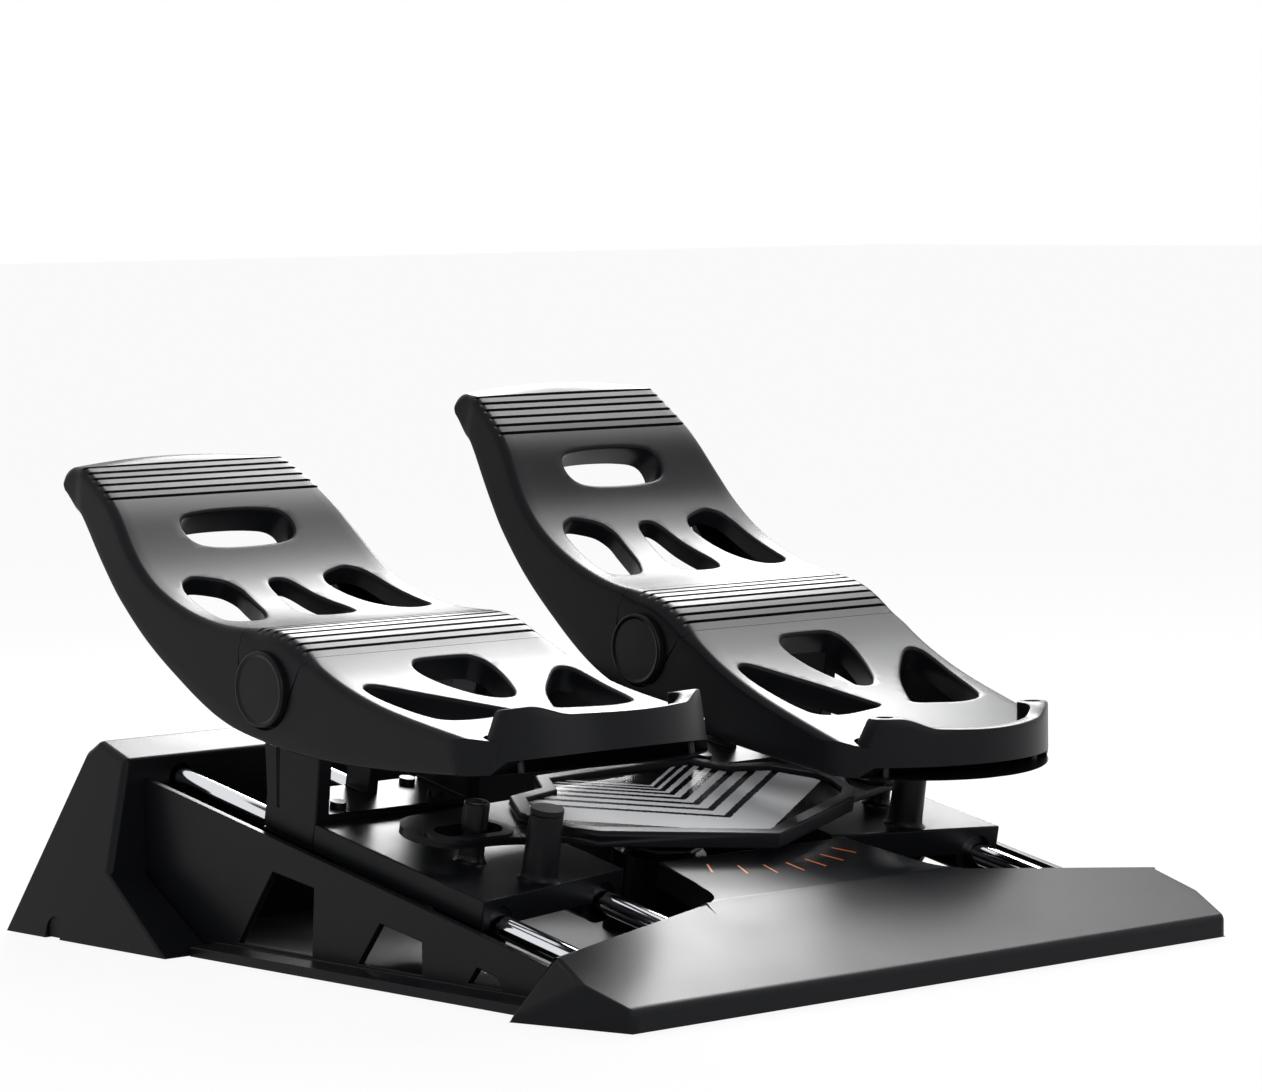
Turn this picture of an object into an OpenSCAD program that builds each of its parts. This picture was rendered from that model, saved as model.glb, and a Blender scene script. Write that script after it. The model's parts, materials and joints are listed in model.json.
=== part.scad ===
// Flight simulator rudder pedals: two tilting pedals on sliding carriages,
// coupled by a central rocker and carried on four sloping rods.
// X runs to the right, Y to the rear and Z up. The origin lies on the floor,
// under the middle of the whole assembly.

/* [Base] */
// Width across the floor corners of the end faces
base_w = 310; // [296:1:326]
// Depth from the front lip to the rear foot
base_d = 328; // [320:1:340]
// Slope of the rods and carriages, in degrees
slope_deg = 11.24; // [9:0.1:13]
// Height of the rod axes over the floor at the front lip
rail_start_z = 4.5; // [4:0.1:6]
// Wall of the moulded covers
cover_wall = 2.5; // [1.8:0.1:3]
// Thickness of the bottom plate
plate_t = 3; // [2.5:0.1:4]
// How far the rubber feet stand out below the plate
foot_rise = 1; // [0.8:0.1:1.5]

/* [Front cover] */
// Width of the front lip
lip_w = 284; // [270:1:290]
// Height of the front lip over the floor
lip_z = 8.3; // [7.5:0.1:9]
// Width of the back edge at its outer corners
back_w = 286; // [278:1:290]
// Depth of the outer back corners
back_out_y = 35.7; // [33:0.1:38]
// Depth of the corners where the tongue begins
back_in_y = 54; // [50:0.1:58]
// Width of the tongue where it begins
tongue_w = 105; // [98:0.5:107]
// Width of the tongue at its end
tongue_end_w = 89; // [80:0.5:95]
// Place of the tongue's end along the slope
tongue_end_t = 99.2; // [94:0.1:104]
// Height of the tongue's top over the rod axes
tongue_h = 14; // [13:0.1:15]
// Depth of the cover's floor corners
tip_y = 47; // [42:0.5:50]

/* [Rear cover] */
// Distance from the rear foot forward to the front wall
wall_back = 57; // [54:0.5:62]
// Height of the front top edge over the rod axes
wall_over = 8.64; // [7.2:0.01:11.5]
// Distance from the rear foot forward to the top face's rear edge
crest_back = 39; // [35:0.5:43]
// Rise of the top face from its front edge to its rear edge
crest_rise = 5.5; // [4:0.1:9]
// Distance from the rear foot forward to the rear edge's rounding
shoulder_back = 34; // [31:0.5:37]
// Drop from the top face's rear edge to the rear edge's rounding
shoulder_drop = 3.5; // [2:0.1:5]
// Distance from the rear foot to the floor corners that reach forward
ear_back = 97; // [88:0.5:102]
// Height at which those corners leave the front wall
ear_z = 26.5; // [22:0.5:30]
// How much the end faces lean in over the rear cover's height
end_lean = 15.2; // [12:0.1:18]

/* [Rods] */
// Diameter of the rods
rail_d = 8; // [7:0.1:9]
// Distance of the outer rods from the middle
rail_out_x = 116.5; // [115.5:0.1:117]
// Distance of the inner rods from the middle
rail_in_x = 62.4; // [61.8:0.1:63]
// Where the rods begin along the slope
rail_t0 = 27; // [26.5:0.1:29]

/* [Carriages] */
// Distance of each pedal's middle from the middle of the base
pedal_x = 89.1; // [88.5:0.1:90]
// Width of a carriage
carriage_w = 73.8; // [73:0.1:75]
// Height of a carriage's top over the rod axes
carriage_h = 9.7; // [9:0.1:10.5]
// Height of a carriage's lower edge over the rod axes
carriage_low_h = -0.3; // [-1:0.1:0]
// Place of the front outer corner along the slope
carriage_front_t = 97.3; // [95:0.1:99]
// Place of the front inner corner along the slope
carriage_inner_t = 110; // [107:0.5:112]
// Place of the rear end along the slope
carriage_rear_t = 217.6; // [215:0.1:222]
// Skin of a carriage's top
carriage_skin = 4; // [3:0.1:5]
// Outer diameter of a linear bushing
bushing_d = 13; // [12:0.1:14]
// Length of a linear bushing
bushing_len = 14; // [10:0.5:18]
// How far the left carriage stands forward, and the right one back
pose_lead = 2.36; // [0:0.01:4]

/* [Rocker] */
// Place of the rocker's pivot along the slope
rocker_t = 146; // [144:0.5:148]
// Height of the rocker's underside over the rod axes
rocker_h = 17; // [16:0.1:18]
// Thickness of the rocker's plate
rocker_plate_t = 3; // [2.5:0.1:4]
// Height of the rim over the plate
rim_rise = 3; // [2:0.1:4]
// Reach of the front point from the pivot
nose_reach = 58; // [55:0.5:59]
// Half width of the broad middle
wing_x = 75; // [72:0.5:77]
// Distance of the slots' middles from the pivot
slot_x = 100; // [99:0.1:101]
// How far ahead of the pivot the drive pins stand
slot_lead = 10; // [8:0.1:11]
// Height of the drive pins over the carriages
pin_len = 21.3; // [16:0.1:22]
// Diameter of the drive pins
pin_d = 9; // [8:0.1:9.5]
// Width of the slots
slot_w = 12.4; // [12:0.1:13]
// Turn of the rocker as the carriages stand, in degrees
pose_turn_deg = 1.3; // [0:0.01:3]

/* [Pedals] */
// Place of the pedal's axis along the slope
pivot_t = 203.6; // [202:0.1:205]
// Height of the pedal's axis over the rod axes
pivot_h = 55.7; // [54:0.1:58]
// Width of a pedal over the hinge
pedal_w = 104.4; // [102:0.1:106]
// Width of a pedal at the toe
toe_w = 93.6; // [88:0.2:98]
// Reach of the toe behind the axis
toe_reach = 106; // [100:0.5:112]
// Rise of the toe over the axis
toe_rise = 91; // [86:0.5:96]
// Reach of the heel ahead of the axis
heel_reach = 131; // [126:0.5:134]
// Drop of the heel below the axis
heel_drop = 41.5; // [40:0.1:43]
// Wall of the pedal's shell
pedal_wall = 3; // [2.5:0.1:3.5]
// Diameter of the round caps on the axis
cap_d = 27.8; // [26:0.1:29]
// How far the caps stand out
cap_t = 4.9; // [4:0.1:6]
// Diameter of the pivot shaft
shaft_d = 10; // [9:0.1:11]
// How far the left pedal is pressed, in degrees
pose_press_deg = 9.6; // [0:0.1:12]

/* [Heel cups and posts] */
// Top of the heel cup, below the axis
cup_top_v = -18.6; // [-20:0.1:-17.5]
// Seam under the heel cup, below the axis
cup_seam_v = -36; // [-36.5:0.1:-35]
// Radius of the cup's outer face
cup_r = 63; // [61:0.5:66]
// Distance of the cup's screws from the pedal's middle
cup_screw_x = 37.9; // [37:0.1:38.5]
// Distance of the cup's screws ahead of the axis
cup_screw_u = 110.9; // [110:0.1:112]
// Distance of a heel post from the middle of the base
post_x = 90; // [88:0.5:92]
// Place of a heel post along the slope
post_t = 111.3; // [110:0.1:112]
// Height of a heel post over its carriage
post_len = 23.4; // [22:0.1:24]
// Diameter of a heel post at its foot
post_d = 12.6; // [12:0.1:13]

/* [Hidden] */
$fn = 48;

// Colours of the materials
black = [0.09, 0.09, 0.1];
dark = [0.14, 0.14, 0.15];
grey = [0.3, 0.3, 0.32];
steel = [0.75, 0.76, 0.78];
bronze = [0.6, 0.5, 0.35];
green = [0.1, 0.35, 0.2];

// Rings in one curl of a spring, and corners of its wire
coil_rings_n = 8;
wire_corners_n = 6;

// Overrun of every cut, and the clearances
over = 2;
seat_gap = 0.05;
run_gap = 0.05;
move_gap = 0.4;

// Places of the rear cover, from the front lip
wall_y = base_d - wall_back;
crest_y = base_d - crest_back;
shoulder_y = base_d - shoulder_back;
ear_y = base_d - ear_back;
wall_z = rail_z(wall_y) + wall_over;
crest_z = wall_z + crest_rise;
shoulder_z = crest_z - shoulder_drop;

// Bottom plate and side walls
plate_z = foot_rise;
plate_top = plate_z + plate_t;
wall_in_x = 130;
side_wall_t = 3;
flange_w = 289;
flange_t = 3.5;
flange_y0 = tip_y + move_gap;
flange_y1 = ear_y - move_gap;
side_top_h = 1.2;
side_y0 = 44;
side_y1 = wall_y - move_gap;
plate_y0 = 5;
plate_back = 10;
plate_y1 = base_d - plate_back;
plate_edge_gap = 0.5;

// Windows in the side walls: each is a list of depth and height
window_low = 6;
window_a = [[217, window_low], [197, 33], [174, 29.5], [175.5, window_low]];
window_b = [[150, window_low], [138, 21], [116, 17], [116, window_low]];
window_c = [[92, window_low], [87, 11.5], [77, 9.5], [75, window_low]];

// Clamps and their pads
clamp_t = 11;
clamp_w = 250;
clamp_half_h = 5.6;
pad_w = 17;
pad_t = 8;
clamp_screw_x = [40, 80, 98];
clamp_bite = 3;
clamp_front_t = rail_t0;
clamp_rear_t = (wall_y + cover_wall + move_gap + clamp_half_h * sin(slope_deg)) / cos(slope_deg);
rail_len = clamp_rear_t + clamp_t - rail_t0;

// Screws
screw_d = 3;
screw_head_d = 5.8;
screw_head_t = 2;

// Cover screws and their bosses
cover_boss_d = 8;
cover_screw_len = 9;
front_screw_x = [45, 126];
front_screw_y = 20;
rear_screw_x = [50, 124];
rear_screw_back = 26;
rear_screw_y = base_d - rear_screw_back;

// Feet
foot_d = 18;
foot_t = 2;
foot_x = 108;
foot_front_y = 64;
foot_mid_y = 170;
foot_wall_gap = 21;
foot_rear_y = wall_y - foot_wall_gap;

// Front cover
cover_z = foot_rise;
cover_slope = (tongue_top_z(back_in_y) - lip_z) / back_in_y;
tip_x = base_w / 2;
end_in_x = 134;
tongue_skirt = 9;

// Rear cover
ear_in_x = wall_in_x + side_wall_t + 2 * plate_edge_gap;
lean_share = end_lean / crest_z;
rail_hole_gap = 1.5;
notch_back = 29;
notch_y = base_d - notch_back;
notch_d = 9;

// Pedestal under the rocker
pedestal_d = 26;
pedestal_h = 12;
sensor_d = 16;
sensor_len = 13;
sensor_top_h = -9;
sensor_pin_d = 5;
bolt_d = 8;
bolt_head_d = 14;
bolt_head_t = 2;
bolt_low_h = -4;
bush_d = 12;
bush_flange_d = 20;
bush_flange_t = 1;

// Rocker outline as shares of the wing's half width and the nose's reach
rocker_front_share = [[0, -1], [0.83, -0.57], [0.94, -0.44], [1.25, -0.33], [1.49, -0.28]];
rocker_rear_share = [[1.43, 0.22], [0.61, 0.3], [0.5, 0.5], [0, 0.52]];
rim_out_share = [[0, -1], [0.83, -0.57], [0.93, -0.45], [1, -0.24], [1, -0.08], [0.86, 0.21],
  [0.61, 0.28], [0.5, 0.5], [0, 0.52]];
rim_in_share = [[0, -0.9], [0.8, -0.49], [0.88, -0.4], [0.93, -0.23], [0.93, -0.1], [0.8, 0.14],
  [0.56, 0.21], [0.46, 0.42], [0, 0.44]];
arm_end_x = 107;
arm_end_lead = 2;
arm_end_d = 30;
hub_d = 30;
hub_drop = 3.7;
slot_in_run = 5;
slot_out_run = 10.4;
inlay_t = 1.2;
inlay_edge_share = 0.99;

// Centring spring
centre_wire_d = 2;
centre_coil_d = (pedestal_d + centre_wire_d + 2 * move_gap) / cos(180 / coil_rings_n);
centre_pitch = 2.9;
centre_curls = 3;
centre_low_h = 1;
spring_seat_d = 34;

// Circuit board
board_w = 64;
board_len = 24;
board_t = 1.6;
board_back = 38;
board_y = base_d - board_back;
board_post_h = 5;
board_post_d = 6;
board_inset = 4;
chip_w = 14;
chip_t = 2;

// Carriage
carriage_in_x = pedal_x - carriage_w / 2;
carriage_out_x = pedal_x + carriage_w / 2;
boss_d = 17;
boss_len = 24;
carriage_rim = 4;
carriage_skirt = 3;

// Bracket
cheek_t = 6;
apron_t = 2.4;
eye_d = 24;
bracket_base_t = 3;
bracket_front_t = 189.3;
bracket_back_t = carriage_rear_t;
bracket_neck_t = 190.8;
bracket_neck_h = 32;
bracket_hip_t = 221.8;
bracket_hip_h = 30;
bracket_foot_h = 1;
web_t = 4;
web_front_t = 204;
web_h = 36;
groove_t = 1.6;
groove_deep = 0.8;
groove_top_t = 214;
groove_low_t = 209.5;
groove_run_h = 24;
bracket_screw_x = 22;
bracket_screw_t = [196, 212];
bracket_screw_len = 6;

// Pivot
pivot_bush_d = 14;
shaft_inset = 5.7;
shaft_len = pedal_w - 2 * shaft_inset;
hinge_boss_d = 18;
hinge_side_gap = 1.7;
hinge_boss_x = carriage_w / 2 + hinge_side_gap;

// Brake sensor and spring
brake_sensor_d = 25;
brake_sensor_t = 11;
brake_wire_d = 2;
brake_coil_d = (shaft_d + brake_wire_d + 2 * move_gap) / cos(180 / coil_rings_n);
brake_pitch = 3;
brake_curls = 6;
brake_spring_x = -8;

// Pedal outline as shares of the toe's reach and rise, and of the heel's reach and drop
toe_top_share = [[1.03, 1], [0.975, 0.988], [0.896, 0.923], [0.824, 0.845], [0.759, 0.769],
  [0.717, 0.692], [0.675, 0.611], [0.623, 0.533], [0.547, 0.451], [0.462, 0.385],
  [0.368, 0.333], [0.274, 0.291], [0.17, 0.256], [0.047, 0.238]];
knuckle_share = [[0.047, 0.238], [-0.047, 0.215], [-0.135, 0.174], [-0.171, 0.148],
  [-0.204, 0.12], [-0.238, 0.087]];
heel_top_share = [[-0.193, 0.19], [-0.305, -0.058], [-0.42, -0.241], [-0.534, -0.378],
  [-0.679, -0.53], [-0.794, -0.643], [-0.86, -0.7], [-1, -0.85]];
toe_back_share = [[1.078, 0.969], [1.01, 0.863], [0.95, 0.776], [0.9, 0.692],
  [0.845, 0.595], [0.765, 0.438], [0.675, 0.284], [0.574, 0.176], [0.477, 0.076],
  [0.381, -0.016], [0.282, -0.086], [0.182, -0.143]];
heel_back_share = [[0.057, -0.422], [-0.017, -0.494], [-0.098, -0.576], [-0.18, -0.639],
  [-0.282, -0.708], [-0.402, -0.781], [-0.66, -0.901], [-0.816, -0.959], [-1, -1]];
// Half width of the pedal at shares of the toe's rise
front_rise_share = [1.1, 0.99, 0.85, 0.77, 0.68, 0.59, 0.5];
front_width_share = [0, 0.02, 0.28, 0.5, 0.75, 0.93, 1];

// Windows as shares of their own half width and half height
toe_window_share = [[0.4, -1], [0.72, -0.86], [0.95, -0.4], [1, 0.34], [0.87, 0.86], [0.64, 1]];
side_window_share = [[-0.79, 0.81], [-0.97, 0.57], [-0.9, 0.24], [-0.62, -0.24], [-0.1, -0.81],
  [0.33, -1.02], [0.76, -1], [0.98, -0.76], [1, -0.1], [0.76, 0.48], [0.4, 0.93], [0.05, 0.98]];
mid_window_share = [[0.5, -1], [0.91, -0.9], [1, -0.65], [0.5, 0.78], [0.27, 0.93]];
heel_window_share = [[0.15, -1], [0.31, -0.92], [0.63, -0.43], [0.91, 0.16], [1, 0.54],
  [0.91, 0.86], [0.63, 1]];
wing_window_share = [[-0.97, -0.7], [-0.42, 0.07], [0.26, 0.72], [0.67, 1.01], [0.93, 0.96],
  [1, 0.63], [0.94, 0], [0.85, -0.58], [0.67, -0.89], [0.1, -0.99], [-0.63, -0.91],
  [-0.98, -0.83]];
// Each window: middle across, behind, above the axis, slope, half width, half height
toe_window = [0, 75.7, 62, 58, 25.5, 8.8];
side_window = [33.4, 45, 34.6, 28.3, 13.9, 21];
mid_window = [0, 44, 34, 30, 11.2, 18.6];
heel_window = [0, -46.5, -6.2, 27.8, 17.4, 18.5];
wing_window = [28.2, -63, -13.4, 21.8, 19.2, 20.8];
collar_t = 2.2;
toe_collar_deep = 15;
heel_collar_deep = 9;

// Grooves in the tread
tread_deep = 0.9;
tread_t = 1.3;
tread_edge = 1.5;
toe_tread_share = [[0.975, 0.988], [0.943, 0.963], [0.911, 0.934], [0.88, 0.905], [0.852, 0.875],
  [0.824, 0.845]];
knuckle_tread_share = [[-0.017, 0.225], [-0.05, 0.213], [-0.083, 0.199], [-0.112, 0.187],
  [-0.14, 0.171], [-0.171, 0.148], [-0.204, 0.12]];
tread_slope_deg = 38;

// Heel cup
cup_mid_u = heel_reach - cup_r;
cup_wall = 5.4;
cup_end_d = 13;
cup_dip = 5;
cup_bore_v = -27;
cup_hole_d = 6.6;
lip_pilot_len = 4;
stop_u = 86.6;
stop_rib_t = 7;
stop_v = -37.2;
bumper_t = 1.8;
post_taper = 1;

// Values that follow from the sizes above
half_w = base_w / 2;
tongue_z_at_back = lip_z + cover_slope * back_out_y;
cup_front_in = cup_screw_u - cup_end_d / 2;
toe_top = [for (p = toe_top_share) [p[0] * toe_reach, p[1] * toe_rise]];
knuckle = [for (p = knuckle_share) [p[0] * toe_reach, p[1] * toe_rise]];
heel_top = [for (p = heel_top_share) [p[0] * heel_reach, p[1] * heel_drop]];
toe_back = [for (p = toe_back_share) [p[0] * toe_reach, p[1] * toe_rise]];
heel_back = [for (p = heel_back_share) [p[0] * heel_reach, p[1] * heel_drop]];

// Height of the rod axes and of the tongue's top at a depth
function rail_z(y) = rail_start_z + y * tan(slope_deg);
function tongue_top_z(y) = rail_z(y) + tongue_h / cos(slope_deg);
function rest(list) = [for (i = [1 : len(list) - 1]) list[i]];
function flipped(list) = [for (i = [len(list) - 1 : -1 : 0]) list[i]];
function opposite(list) = [for (p = flipped(list)) [-p[0], p[1]]];
function turned(v) = [-v[1], v[0]] / norm(v);
// Moves each point of an open line to its left by a distance
function beside(list, gap) = [for (i = [0 : len(list) - 1])
  list[i] + gap * turned(list[min(i + 1, len(list) - 1)] - list[max(i - 1, 0)])];
// Moves each point of a closed outline outwards by a distance
function grown(list, gap) = [for (i = [0 : len(list) - 1])
  let (n = len(list), a = list[(i + n - 1) % n], b = list[i], c = list[(i + 1) % n],
    m = turned(b - a), k = turned(c - b))
  b - gap * (m + k) / (1 + m * k)];

// Frames
module stand() translate([0, -base_d / 2, 0]) children();
module on_slope() stand() translate([0, 0, rail_start_z]) rotate([slope_deg, 0, 0]) children();
module flank(side) {
  if (side < 0) mirror([1, 0, 0]) children();
  else children();
}
module on_carriage(side) on_slope() translate([0, side * pose_lead, 0]) flank(side) children();
module on_pedal(side)
  on_slope()
    translate([side * pedal_x, pivot_t + side * pose_lead, pivot_h])
      rotate([(side < 0 ? -pose_press_deg : 0) - slope_deg, 0, 0])
        flank(side) children();
module on_rocker() on_slope() translate([0, rocker_t, 0]) rotate([0, 0, pose_turn_deg]) children();
// Extrudes a side view along X between two places
module between(x0, x1) rotate([90, 0, 90]) translate([0, 0, x0]) linear_extrude(x1 - x0) children();
module across(w) between(-w / 2, w / 2) children();
// Extrudes a front view along Y between two places
module deep(y0, y1) rotate([90, 0, 0]) translate([0, 0, -y1]) linear_extrude(y1 - y0) children();
module sides() {
  children();
  mirror([1, 0, 0]) children();
}

// A coil about Z, as one unbroken tube
function coil_points(d, pitch, curls, rings) =
  [for (i = [0 : curls * rings]) let (a = 360 * i / rings)
    [cos(a) * d / 2, sin(a) * d / 2, pitch * i / rings]];
function coil_rings(path, wire, corners) = [for (i = [0 : len(path) - 1])
  let (t = path[min(i + 1, len(path) - 1)] - path[max(i - 1, 0)], f = t / norm(t),
    r = [path[i][0], path[i][1], 0], n = r / norm(r), b = cross(f, n))
  for (k = [0 : corners - 1])
    path[i] + wire / 2 * (n * cos(360 * k / corners) + b * sin(360 * k / corners))];
module coil(d, wire, pitch, curls) {
  corners = wire_corners_n;
  rings = coil_rings_n;
  path = coil_points(d, pitch, curls, rings);
  count = len(path);
  points = coil_rings(path, wire, corners);
  faces = concat(
    [for (i = [0 : count - 2], k = [0 : corners - 1], h = [0, 1])
      let (a = i * corners + k, b = i * corners + (k + 1) % corners)
      h == 0 ? [a, b, b + corners] : [a, b + corners, a + corners]],
    [for (k = [1 : corners - 2]) [0, k + 1, k]],
    [for (k = [1 : corners - 2]) let (e = (count - 1) * corners) [e, e + k, e + k + 1]]);
  gaps = [for (i = [0 : count - 1 - rings]) norm(path[i + rings] - path[i]) - wire];
  echo(coil_gap = min(gaps));
  polyhedron(points, faces);
}

// A screw along Z with its head's seat at zero, head up
module screw(len, d = screw_d) {
  translate([0, 0, -len]) cylinder(d = d, h = len);
  cylinder(d = screw_head_d, h = screw_head_t);
}

// Base frame
module rail_places() {
  for (x = [-rail_out_x, -rail_in_x, rail_in_x, rail_out_x]) translate([x, 0, 0]) children();
}
module clamp_screw_places() {
  sides() for (x = clamp_screw_x) translate([x, clamp_t / 2, 0]) children();
}
module pads(t0) {
  intersection() {
    on_slope() translate([0, t0, 0]) {
      rail_places() translate([-pad_w / 2, 0, -crest_z])
        cube([pad_w, clamp_t, crest_z - clamp_half_h]);
      clamp_screw_places() translate([-pad_t / 2, -clamp_t / 2, -crest_z])
        cube([pad_t, clamp_t, crest_z - clamp_half_h]);
    }
    stand() translate([-half_w, 0, plate_z]) cube([base_w, base_d, crest_z]);
  }
}
module cover_screw_places() {
  sides() {
    for (x = front_screw_x) translate([x, front_screw_y, 0]) children();
    for (x = rear_screw_x) translate([x, rear_screw_y, 0]) children();
  }
}
module foot_places() {
  sides() for (y = [foot_front_y, foot_mid_y, foot_rear_y]) translate([foot_x, y, 0]) children();
}
module board_places() {
  sides() for (y = [board_y + board_inset, board_y + board_len - board_inset])
    translate([board_w / 2 - board_inset, y, 0]) children();
}
module side_wall() {
  difference() {
    between(wall_in_x, wall_in_x + side_wall_t)
      polygon([[side_y0, plate_z], [side_y1, plate_z],
        [side_y1, rail_z(side_y1) + side_top_h], [side_y0, rail_z(side_y0) + side_top_h]]);
    between(wall_in_x - over, wall_in_x + side_wall_t + over) {
      polygon(window_a);
      polygon(window_b);
      polygon(window_c);
    }
  }
}
module base_frame() {
  color(black) difference() {
    union() {
      stand() {
        translate([-wall_in_x, plate_y0, plate_z]) cube([2 * wall_in_x, plate_y1 - plate_y0, plate_t]);
        translate([-flange_w / 2, flange_y0, plate_z])
          cube([flange_w, flange_y1 - flange_y0, flange_t]);
        sides() side_wall();
        board_places() translate([0, 0, plate_z]) cylinder(d = board_post_d, h = plate_t + board_post_h);
      }
      pads(clamp_front_t);
      pads(clamp_rear_t);
      intersection() {
        on_slope() translate([0, rocker_t, -crest_z]) {
          cylinder(d = pedestal_d, h = crest_z + pedestal_h);
          cylinder(d = spring_seat_d, h = crest_z + centre_low_h - centre_wire_d / 2 - seat_gap);
        }
        stand() translate([-half_w, 0, plate_z]) cube([base_w, base_d, 2 * crest_z]);
      }
    }
    on_slope() translate([0, rocker_t, 0]) {
      translate([0, 0, -crest_z]) cylinder(d = bolt_d + 2 * run_gap, h = crest_z + pedestal_h + over);
      translate([0, 0, -crest_z]) cylinder(d = sensor_d + 2 * seat_gap, h = crest_z + sensor_top_h);
    }
    on_slope() {
      for (t0 = [clamp_front_t, clamp_rear_t]) translate([0, t0, -clamp_half_h])
        clamp_screw_places() translate([0, 0, -clamp_bite - seat_gap])
          cylinder(d = screw_d + 2 * seat_gap, h = clamp_bite + over);
    }
    stand() {
      cover_screw_places() {
        translate([0, 0, plate_z - over]) cylinder(d = screw_d + move_gap, h = plate_t + 2 * over);
        translate([0, 0, plate_z - over])
          cylinder(d = screw_head_d + move_gap, h = screw_head_t + over);
      }
      foot_places() translate([0, 0, plate_z - over])
        cylinder(d = foot_d + move_gap, h = over + foot_t - foot_rise);
    }
  }
}
module rubber_feet() {
  color(dark) stand() foot_places() cylinder(d = foot_d, h = foot_t);
}
module cover_screws() {
  color(steel) stand() cover_screw_places() translate([0, 0, plate_z + screw_head_t])
    mirror([0, 0, 1]) screw(cover_screw_len);
}

// Front cover
module end_view(z1) {
  polygon([[-tip_x, cover_z], [tip_x, cover_z], [back_w / 2, tongue_z_at_back], [back_w / 2, z1],
    [-back_w / 2, z1], [-back_w / 2, tongue_z_at_back]]);
}
module front_body(inset, drop) {
  // The broad wedge, whose back edge sweeps forward to each side
  intersection() {
    across(base_w) polygon([[inset, cover_z - drop], [inset, lip_z - inset],
      [back_in_y + drop, lip_z + cover_slope * (back_in_y + drop) - inset],
      [back_in_y + drop, cover_z - drop]]);
    translate([0, 0, -over]) linear_extrude(crest_z) polygon([
      [-lip_w / 2 + inset, 0], [lip_w / 2 - inset, 0],
      [tip_x - inset, tip_y], [back_w / 2 - inset, back_out_y + drop],
      [tongue_w / 2, back_in_y + drop], [-tongue_w / 2, back_in_y + drop],
      [-back_w / 2 + inset, back_out_y + drop], [-tip_x + inset, tip_y]]);
    deep(-over, base_d) end_view(crest_z);
  }
}
module front_end() {
  intersection() {
    between(end_in_x, half_w) polygon([[0, cover_z], [0, lip_z], [back_out_y, tongue_z_at_back],
      [tip_y, cover_z]]);
    linear_extrude(crest_z) polygon([[0, 0], [lip_w / 2, 0], [tip_x, tip_y], [0, tip_y]]);
    deep(-over, base_d) end_view(crest_z);
  }
}
module front_cover() {
  color(black) {
    difference() {
      union() {
        stand() {
          difference() {
            front_body(0, 0);
            intersection() {
              front_body(cover_wall, over);
              translate([-end_in_x, 0, -over]) cube([2 * end_in_x, base_d, crest_z]);
            }
          }
          sides() front_end();
          cover_bosses_front();
        }
        intersection() {
          on_slope() tongue();
          stand() across(base_w) polygon([[0, 0], [0, lip_z],
            [2 * back_in_y, lip_z + 2 * cover_slope * back_in_y], [2 * back_in_y, 0]]);
        }
      }
      stand() cover_screw_places() translate([0, 0, plate_top])
        cylinder(d = screw_d + 2 * seat_gap, h = cover_screw_len);
      // Clears the bottom plate and the side walls
      stand() translate([-wall_in_x - side_wall_t - move_gap, plate_y0 - plate_edge_gap, plate_z - over])
        cube([2 * (wall_in_x + side_wall_t + move_gap), base_d, over + plate_t + plate_edge_gap / 2]);
    }
  }
}
module cover_bosses_front() {
  intersection() {
    sides() for (x = front_screw_x) translate([x, front_screw_y, plate_top])
      cylinder(d = cover_boss_d, h = crest_z);
    front_body(0, 0);
  }
}
tongue_t0 = (back_in_y + tongue_h * sin(slope_deg)) / cos(slope_deg);
module tongue_plan(inset) {
  root_t = tongue_t0 - 2 * cover_wall;
  polygon([[-tongue_w / 2 + inset, root_t], [tongue_w / 2 - inset, root_t],
    [tongue_end_w / 2 - inset, tongue_end_t - inset],
    [-tongue_end_w / 2 + inset, tongue_end_t - inset]]);
}
module tongue() {
  difference() {
    translate([0, 0, tongue_h - tongue_skirt]) linear_extrude(tongue_skirt) tongue_plan(0);
    translate([0, 0, tongue_h - tongue_skirt - over])
      linear_extrude(tongue_skirt - cover_wall + over) tongue_plan(cover_wall);
  }
}

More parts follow.
